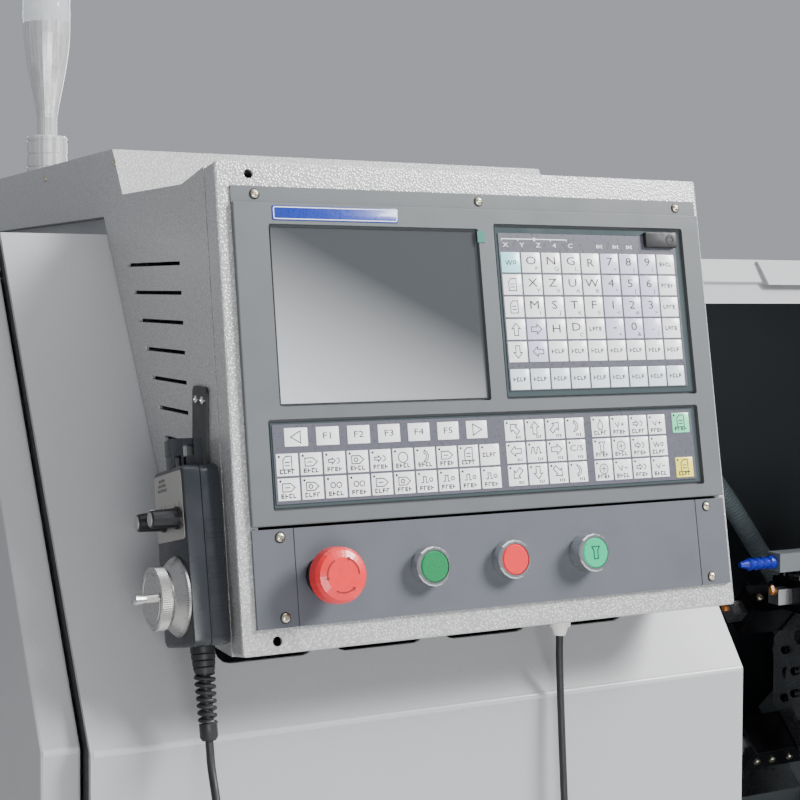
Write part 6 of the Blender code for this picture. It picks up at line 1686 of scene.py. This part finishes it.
def tool_trim():
    """What the tool blocks carry: clamp screws, ground plates, shanks with inserts, the boring bar."""
    cap = socket_screw()
    dome = cross_screw(SIDE_SCREW_RADIUS, SIDE_SCREW_HEIGHT)
    half = SHANK_SIZE / 2
    shape = Shape()
    for station in (*TOOL_STATIONS, BORING_STATION):
        is_boring = station == BORING_STATION
        seat = seat_place(station, TURRET_FLAT + GAP)
        height = HOLDER_HEIGHT + (EDGE if is_boring else 0)
        for along in TOOL_SCREW_PLACES:
            for side in (TOOL_SCREW_SIDE, -TOOL_SCREW_SIDE):
                shape.stamp(cap, seat @ at(along, side, height))
        for side in (-1, 1):
            face = seat @ at(0, side * HOLDER_WIDTH / 2, height / 2) @ spin("X", -side * QUARTER)
            for along in SIDE_SCREW_PLACES:
                shape.stamp(dome, face @ at(along, 0, 0), 2)
        nose = seat @ at(HOLDER_LENGTH, 0, height / 2) @ spin("Y", QUARTER)
        if is_boring:
            tip = [(BAR_REACH, BAR_RADIUS), (BAR_REACH + EDGE, BAR_RADIUS - EDGE), (BAR_REACH + EDGE, 0)]
            shape.turned([*scaled(BAR_SHARES, BAR_RADIUS, BAR_RADIUS), *tip], nose, BAR_STEPS, 1)
        else:
            left, right, front, back = GROUND_PLATE
            shape.block((left, front, height), (right, back, height + PLATE_RISE), seat, 1, PLATE_ROUND)
            shape.block((-half, -half, 0), (half, half, SHANK_REACH), nose, 3, SHANK_ROUND)
            insert = [(x * INSERT_REACH - half, y * INSERT_REACH) for x, y in INSERT_SHAPE]
            shape.slab(insert, SHANK_REACH, SHANK_REACH + INSERT_THICKNESS, nose, 4)
    shape.make("tool_trim", "turret", "steel", "black_steel", "steel", "zinc", "steel", "insert")


def chuck_body():
    """The spindle and the chuck as one finely turned body, with dark strips on its face that paint the shade
    of the jaws' slots.
    """
    tail = machine_box("chuck")[0].x - CHUCK_FACE
    back = -CHUCK_LENGTH
    inner = CHUCK_RADIUS - EDGE
    profile = [(tail, CHUCK_BORE_RADIUS), (tail, SPINDLE_RADIUS), (back, SPINDLE_RADIUS), (back, inner),
               (back + EDGE, CHUCK_RADIUS)]
    for share in CHUCK_GROOVE_SHARES:
        middle = back * share
        profile += [(middle - EDGE, CHUCK_RADIUS), (middle - EDGE, inner), (middle + EDGE, inner),
                    (middle + EDGE, CHUCK_RADIUS)]
    profile += [(-EDGE, CHUCK_RADIUS), (0, inner), (0, CHUCK_BORE_RADIUS + EDGE), (-EDGE, CHUCK_BORE_RADIUS),
                (tail, CHUCK_BORE_RADIUS)]
    shape = Shape()
    shape.turned(profile, chuck_place(), FINE_STEPS)
    half = GUIDE_WIDTH / 2
    # Dark strips flush with the chuck's face paint the shade of the slots that the jaws run in
    for index in range(JAW_COUNT):
        shape.block((-CHUCK_RADIUS + EDGE * 2, -half, -HAIR), (-CHUCK_BORE_RADIUS - EDGE, half, HAIR),
                    chuck_place() @ spin("Z", math.tau * index / JAW_COUNT), 1)
    made = shape.make("chuck_body", "spindle", "steel", "steel", "black_steel")
    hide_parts("chuck")


def chuck_trim():
    """The screws and the bore's lip on the chuck's face, and the screws in its jaws."""
    cap = socket_screw()
    shape = Shape()
    for index in range(JAW_COUNT):
        turn = spin("Z", math.tau * (index + 0.5) / JAW_COUNT)
        shape.stamp(cap, chuck_place() @ turn @ at(-CHUCK_RADIUS * CHUCK_SCREW_SHARE, 0, 0))
    lip = [(HAIR * up, CHUCK_BORE_RADIUS + EDGE * out) for up, out in BORE_LIP]
    shape.turned(lip, chuck_place(), ROUND_STEPS, 1)
    shape.make("chuck_trim", "spindle", "steel", "black_steel", "steel")
    for index in range(JAW_COUNT):
        screws = Shape()
        turn = (on_machine(CHUCK_FACE + GAP, SPINDLE_DEPTH, SPINDLE_HEIGHT)
                @ spin("X", math.tau * index / JAW_COUNT))
        for reach, rise in JAW_SCREW_PLACES:
            screws.stamp(cap, turn @ at(rise, 0, reach) @ spin("Y", QUARTER))
        screws.make("jaw_screws_%d" % (index + 1), "jaw_%d" % (index + 1), "steel", "black_steel")


def way_strips():
    """Ground steel faces on the two ways of the bed."""
    shape = Shape()
    origin = on_machine(0, SPINDLE_DEPTH, SPINDLE_HEIGHT) @ spin("X", SLANT)
    for low in (WAY_INSET - BED_LOW_REACH, BED_HIGH_REACH - WAY_INSET - WAY_WIDTH):
        shape.block((HEADSTOCK_RIGHT + WAY_STRIP_INSET, low + HAIR, -WAY_DROP),
                    (BED_RIGHT - HAIR, low + WAY_WIDTH - HAIR, HAIR - WAY_DROP), origin)
    shape.make("way_strips", "machine", "steel", "steel")


def window_gasket():
    """The rubber frame round the door's window, with its raised middle."""
    low, high = machine_box("door_window")
    left = low.x + WAY_INSET
    width = high.x - WAY_INSET - left
    height = (WINDOW_HIGH - WINDOW_LOW) / math.cos(FRONT_SLOPE)
    place = on_front(left, WINDOW_LOW)
    path = rounded(-GASKET_LAP, width + GASKET_LAP, -GASKET_LAP, height + GASKET_LAP, WAY_INSET,
                   GASKET_CORNER_STEPS)
    shape = Shape()
    shape.line(path, GASKET_WIDTH, (HAIR, GASKET_HEIGHT), place, True)
    shape.line(path, GASKET_BEAD, (GASKET_HEIGHT, GASKET_BEAD_HEIGHT), place, True)
    shape.make("window_gasket", "door", "black", "rubber")


def door_trim():
    """The door's bolts above and below, and the feet of its handle."""
    low, high = machine_box("sliding_door")
    bolt = hex_bolt()
    shape = Shape()
    for across in (low.x + DOOR_BOLT_INSET, (low.x + high.x) / 2, high.x - DOOR_BOLT_INSET):
        for height in (DOOR_TOP - DOOR_BOLT_DROP, SILL_HEIGHT + DOOR_BOLT_DROP):
            shape.stamp(bolt, on_front(across, height))
    low, high = machine_box("door_handle")
    for height in (low.z + HANDLE_RADIUS * 2, high.z - HANDLE_RADIUS * 2):
        shape.turned(scaled(FOOT_SHARES, EDGE, HANDLE_RADIUS), on_front((low.x + high.x) / 2, height))
    shape.make("door_fittings", "door", "steel", "chrome")


def bolt_rows():
    """Bolts along the end panels, the roof, the rear panel and the sill."""
    places = [on_machine(across, depth, ROOF_HEIGHT - ROOF_DROP)
              for across in ROOF_BOLT_PLACES for depth in ROOF_BOLT_DEPTHS]
    for height in SIDE_BOLT_HEIGHTS:
        for depth in SIDE_BOLT_DEPTHS:
            places += [on_machine(MACHINE_LENGTH, depth, height) @ spin("Y", QUARTER),
                       on_machine(0, depth, height) @ spin("Y", -QUARTER)]
        places += [facing_rear(across, height, REAR_FACE) for across in REAR_BOLT_PLACES]
    places += [on_front(across, SILL_BOLT_HEIGHT) for across in SILL_BOLT_PLACES]
    bolt = hex_bolt()
    shape = Shape()
    for place in places:
        shape.stamp(bolt, place)
    shape.make("enclosure_bolts", "machine", "steel", "chrome")


def fold_edges():
    """The rounded fold across the covers, in a lighter paint as a painted highlight, and a dark rubber strip
    on the left cover's flank that paints the shade in the gap to the end panel.
    """
    half = FRONT_SLOPE / 2
    reach = FOLD_RADIUS / math.cos(half) - FOLD_PROUD
    shape = Shape()
    # The fold rods take the lighter fold paint: a painted highlight along the bend
    for left, right, setback in ((0, END_WIDTH, END_SETBACK), (COVER_LEFT, COVER_RIGHT, 0)):
        place = on_machine(0, setback + reach * math.cos(half), FRONT_BREAK_HEIGHT - reach * math.sin(half))
        shape.turned(rod(left + FOLD_INSET, right - FOLD_INSET, FOLD_RADIUS), place @ spin("Y", QUARTER),
                     ROUND_STEPS)
    shape.make("fold_edges", "machine", "grey", "fold")
    # A dark rubber strip on the cover's left flank paints the shade in the gap to the end panel
    shade_strip = Shape()
    slope = math.tan(FRONT_SLOPE) * (ROOF_HEIGHT - FRONT_BREAK_HEIGHT)
    low, high = SHADE_STRIP_BAND
    top = ROOF_HEIGHT - LIP
    outline = [(low, LIP_LOW), (high, LIP_LOW), (high, FRONT_BREAK_HEIGHT), (high + slope, top),
               (low + slope, top), (low, FRONT_BREAK_HEIGHT)]
    shade_strip.slab(outline, COVER_LEFT - SHADE_STRIP_THICKNESS - HAIR, COVER_LEFT - HAIR, facing_right(0, 0, 0))
    shade_strip.make("cover_flank_shade_strip", "machine", "black", "rubber")


def end_lips():
    """The return lips of the end covers, at the rear panel and over the roof."""
    left = END_WIDTH - LIP
    right = MACHINE_LENGTH - END_WIDTH
    back = MACHINE_DEPTH - LIP
    low_roof = ROOF_HEIGHT - ROOF_DROP - LIP
    shape = Shape()
    for low, high in (((left, REAR_FACE - LIP, LIP_LOW), (left + LIP, back, ROOF_HEIGHT - LIP)),
                      ((right, REAR_FACE - LIP, LIP_LOW), (right + LIP, back, low_roof)),
                      ((left, LIP_FRONT, low_roof), (left + LIP, back, ROOF_HEIGHT - LIP))):
        shape.block(low, high, on_machine())
    shape.make("end_lips", "machine", "grey", "grey")


def cabinet_trim():
    """Hinges beside the cabinet's door; latches, louvres and the main switch on it."""
    low, high = machine_box("cabinet_door")
    hinge = Shape()
    door = Shape()
    for share in END_SHARES:
        spot = on_machine(low.x - HINGE_RADIUS, MACHINE_DEPTH - EDGE - HINGE_RADIUS,
                          low.z + (high.z - low.z) * share)
        hinge.turned(rod(-HINGE_LENGTH / 2, HINGE_LENGTH / 2, HINGE_RADIUS), spot)
    hinge.make("cabinet_hinges", "machine", "steel", "chrome")
    for share in LATCH_PLACE_SHARES:
        place = facing_rear(high.x - LATCH_INSET, low.z + (high.z - low.z) * share, MACHINE_DEPTH)
        door.turned(scaled(LATCH_SHARES, LATCH_HEIGHT, LATCH_RADIUS), place, LATCH_STEPS)
        wide, tall = (LATCH_RADIUS * part for part in LATCH_BAR_SHARES)
        door.block((-wide, -tall, LATCH_HEIGHT - HAIR), (wide, tall, LATCH_HEIGHT + LATCH_BAR_RISE), place)
    for row in range(LOUVRE_COUNT):
        place = facing_rear((low.x + high.x) / 2, low.z + LOUVRE_RISE + LOUVRE_PITCH * row, MACHINE_DEPTH)
        for middle in (-LOUVRE_OFFSET, LOUVRE_OFFSET):
            left = middle - LOUVRE_WIDTH / 2
            right = middle + LOUVRE_WIDTH / 2
            door.keep([(left, 0, 0), (right, 0, 0), (right, LOUVRE_HEIGHT, 0), (left, LOUVRE_HEIGHT, 0),
                       (left, 0, LOUVRE_DEPTH), (right, 0, LOUVRE_DEPTH)],
                      [(0, 3, 2, 1), (0, 1, 5, 4), (4, 5, 2, 3), (0, 4, 3), (1, 2, 5)], place, 1)
    place = facing_rear(high.x - SWITCH_INSET, high.z - SWITCH_DROP, MACHINE_DEPTH)
    half = SWITCH_SIZE / 2
    door.slab(rounded(-half, half, -half, half, SWITCH_CORNER), 0, LATCH_HEIGHT / 2, place, 2, SWITCH_ROUND)
    door.turned(scaled(SWITCH_SHARES, LATCH_HEIGHT, half), place, SWITCH_STEPS, 3)
    wide, tall = (half * part for part in SWITCH_BAR_SHARES)
    door.block((-wide, -tall, LATCH_HEIGHT), (wide, tall, LATCH_HEIGHT * 2), place, 3, SWITCH_BAR_ROUND)
    door.make("cabinet_door_trim", "cabinet_door", "steel", "chrome", "grey", "yellow_key", "red")


def tower_rings():
    """The prism rings inside the tower's clear lens."""
    low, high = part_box("tower_lens")
    centre = at((low.x + high.x) / 2, (low.y + high.y) / 2, 0)
    radius = (high.x - low.x) / 2 - LENS_WALL
    step = (high.z - low.z - LENS_CAP) / LENS_RINGS
    shape = Shape()
    for index in range(LENS_RINGS):
        ring = [(low.z + step * (index + share), radius + rise) for share, rise in LENS_RING]
        shape.turned(ring, centre, ROUND_STEPS)
    shape.make("lens_rings", "machine", "clear", "clear")


MAKERS = (cords, corrugated_hose, keypad_print, film_header, panel_screws, screen_parts, side_port,
          pendant_shell, pendant_face, pendant_trim, handwheel, knob_caps, relief_coil, stop_head_marks,
          lit_symbol, turret_trim, tool_trim, chuck_body, chuck_trim, way_strips, window_gasket, door_trim,
          bolt_rows, fold_edges, end_lips, cabinet_trim, tower_rings, hood_screws)


def dress_nodes(nodes, finish):
    """Give every CAD node its finish."""
    for kind, names in NODE_FINISH.items():
        for name in names:
            slots = nodes[name].material_slots
            if not slots:
                nodes[name].data.materials.append(finish[kind])
            for slot in slots:
                slot.material = finish[kind]


def main():
    """Build the looks round the frame."""
    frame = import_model()
    Shape.finishes = finishes()
    camera()
    studio()
    dress_nodes(frame["nodes"], Shape.finishes)
    for maker in MAKERS:
        maker()
    bpy.context.view_layer.update()


main()
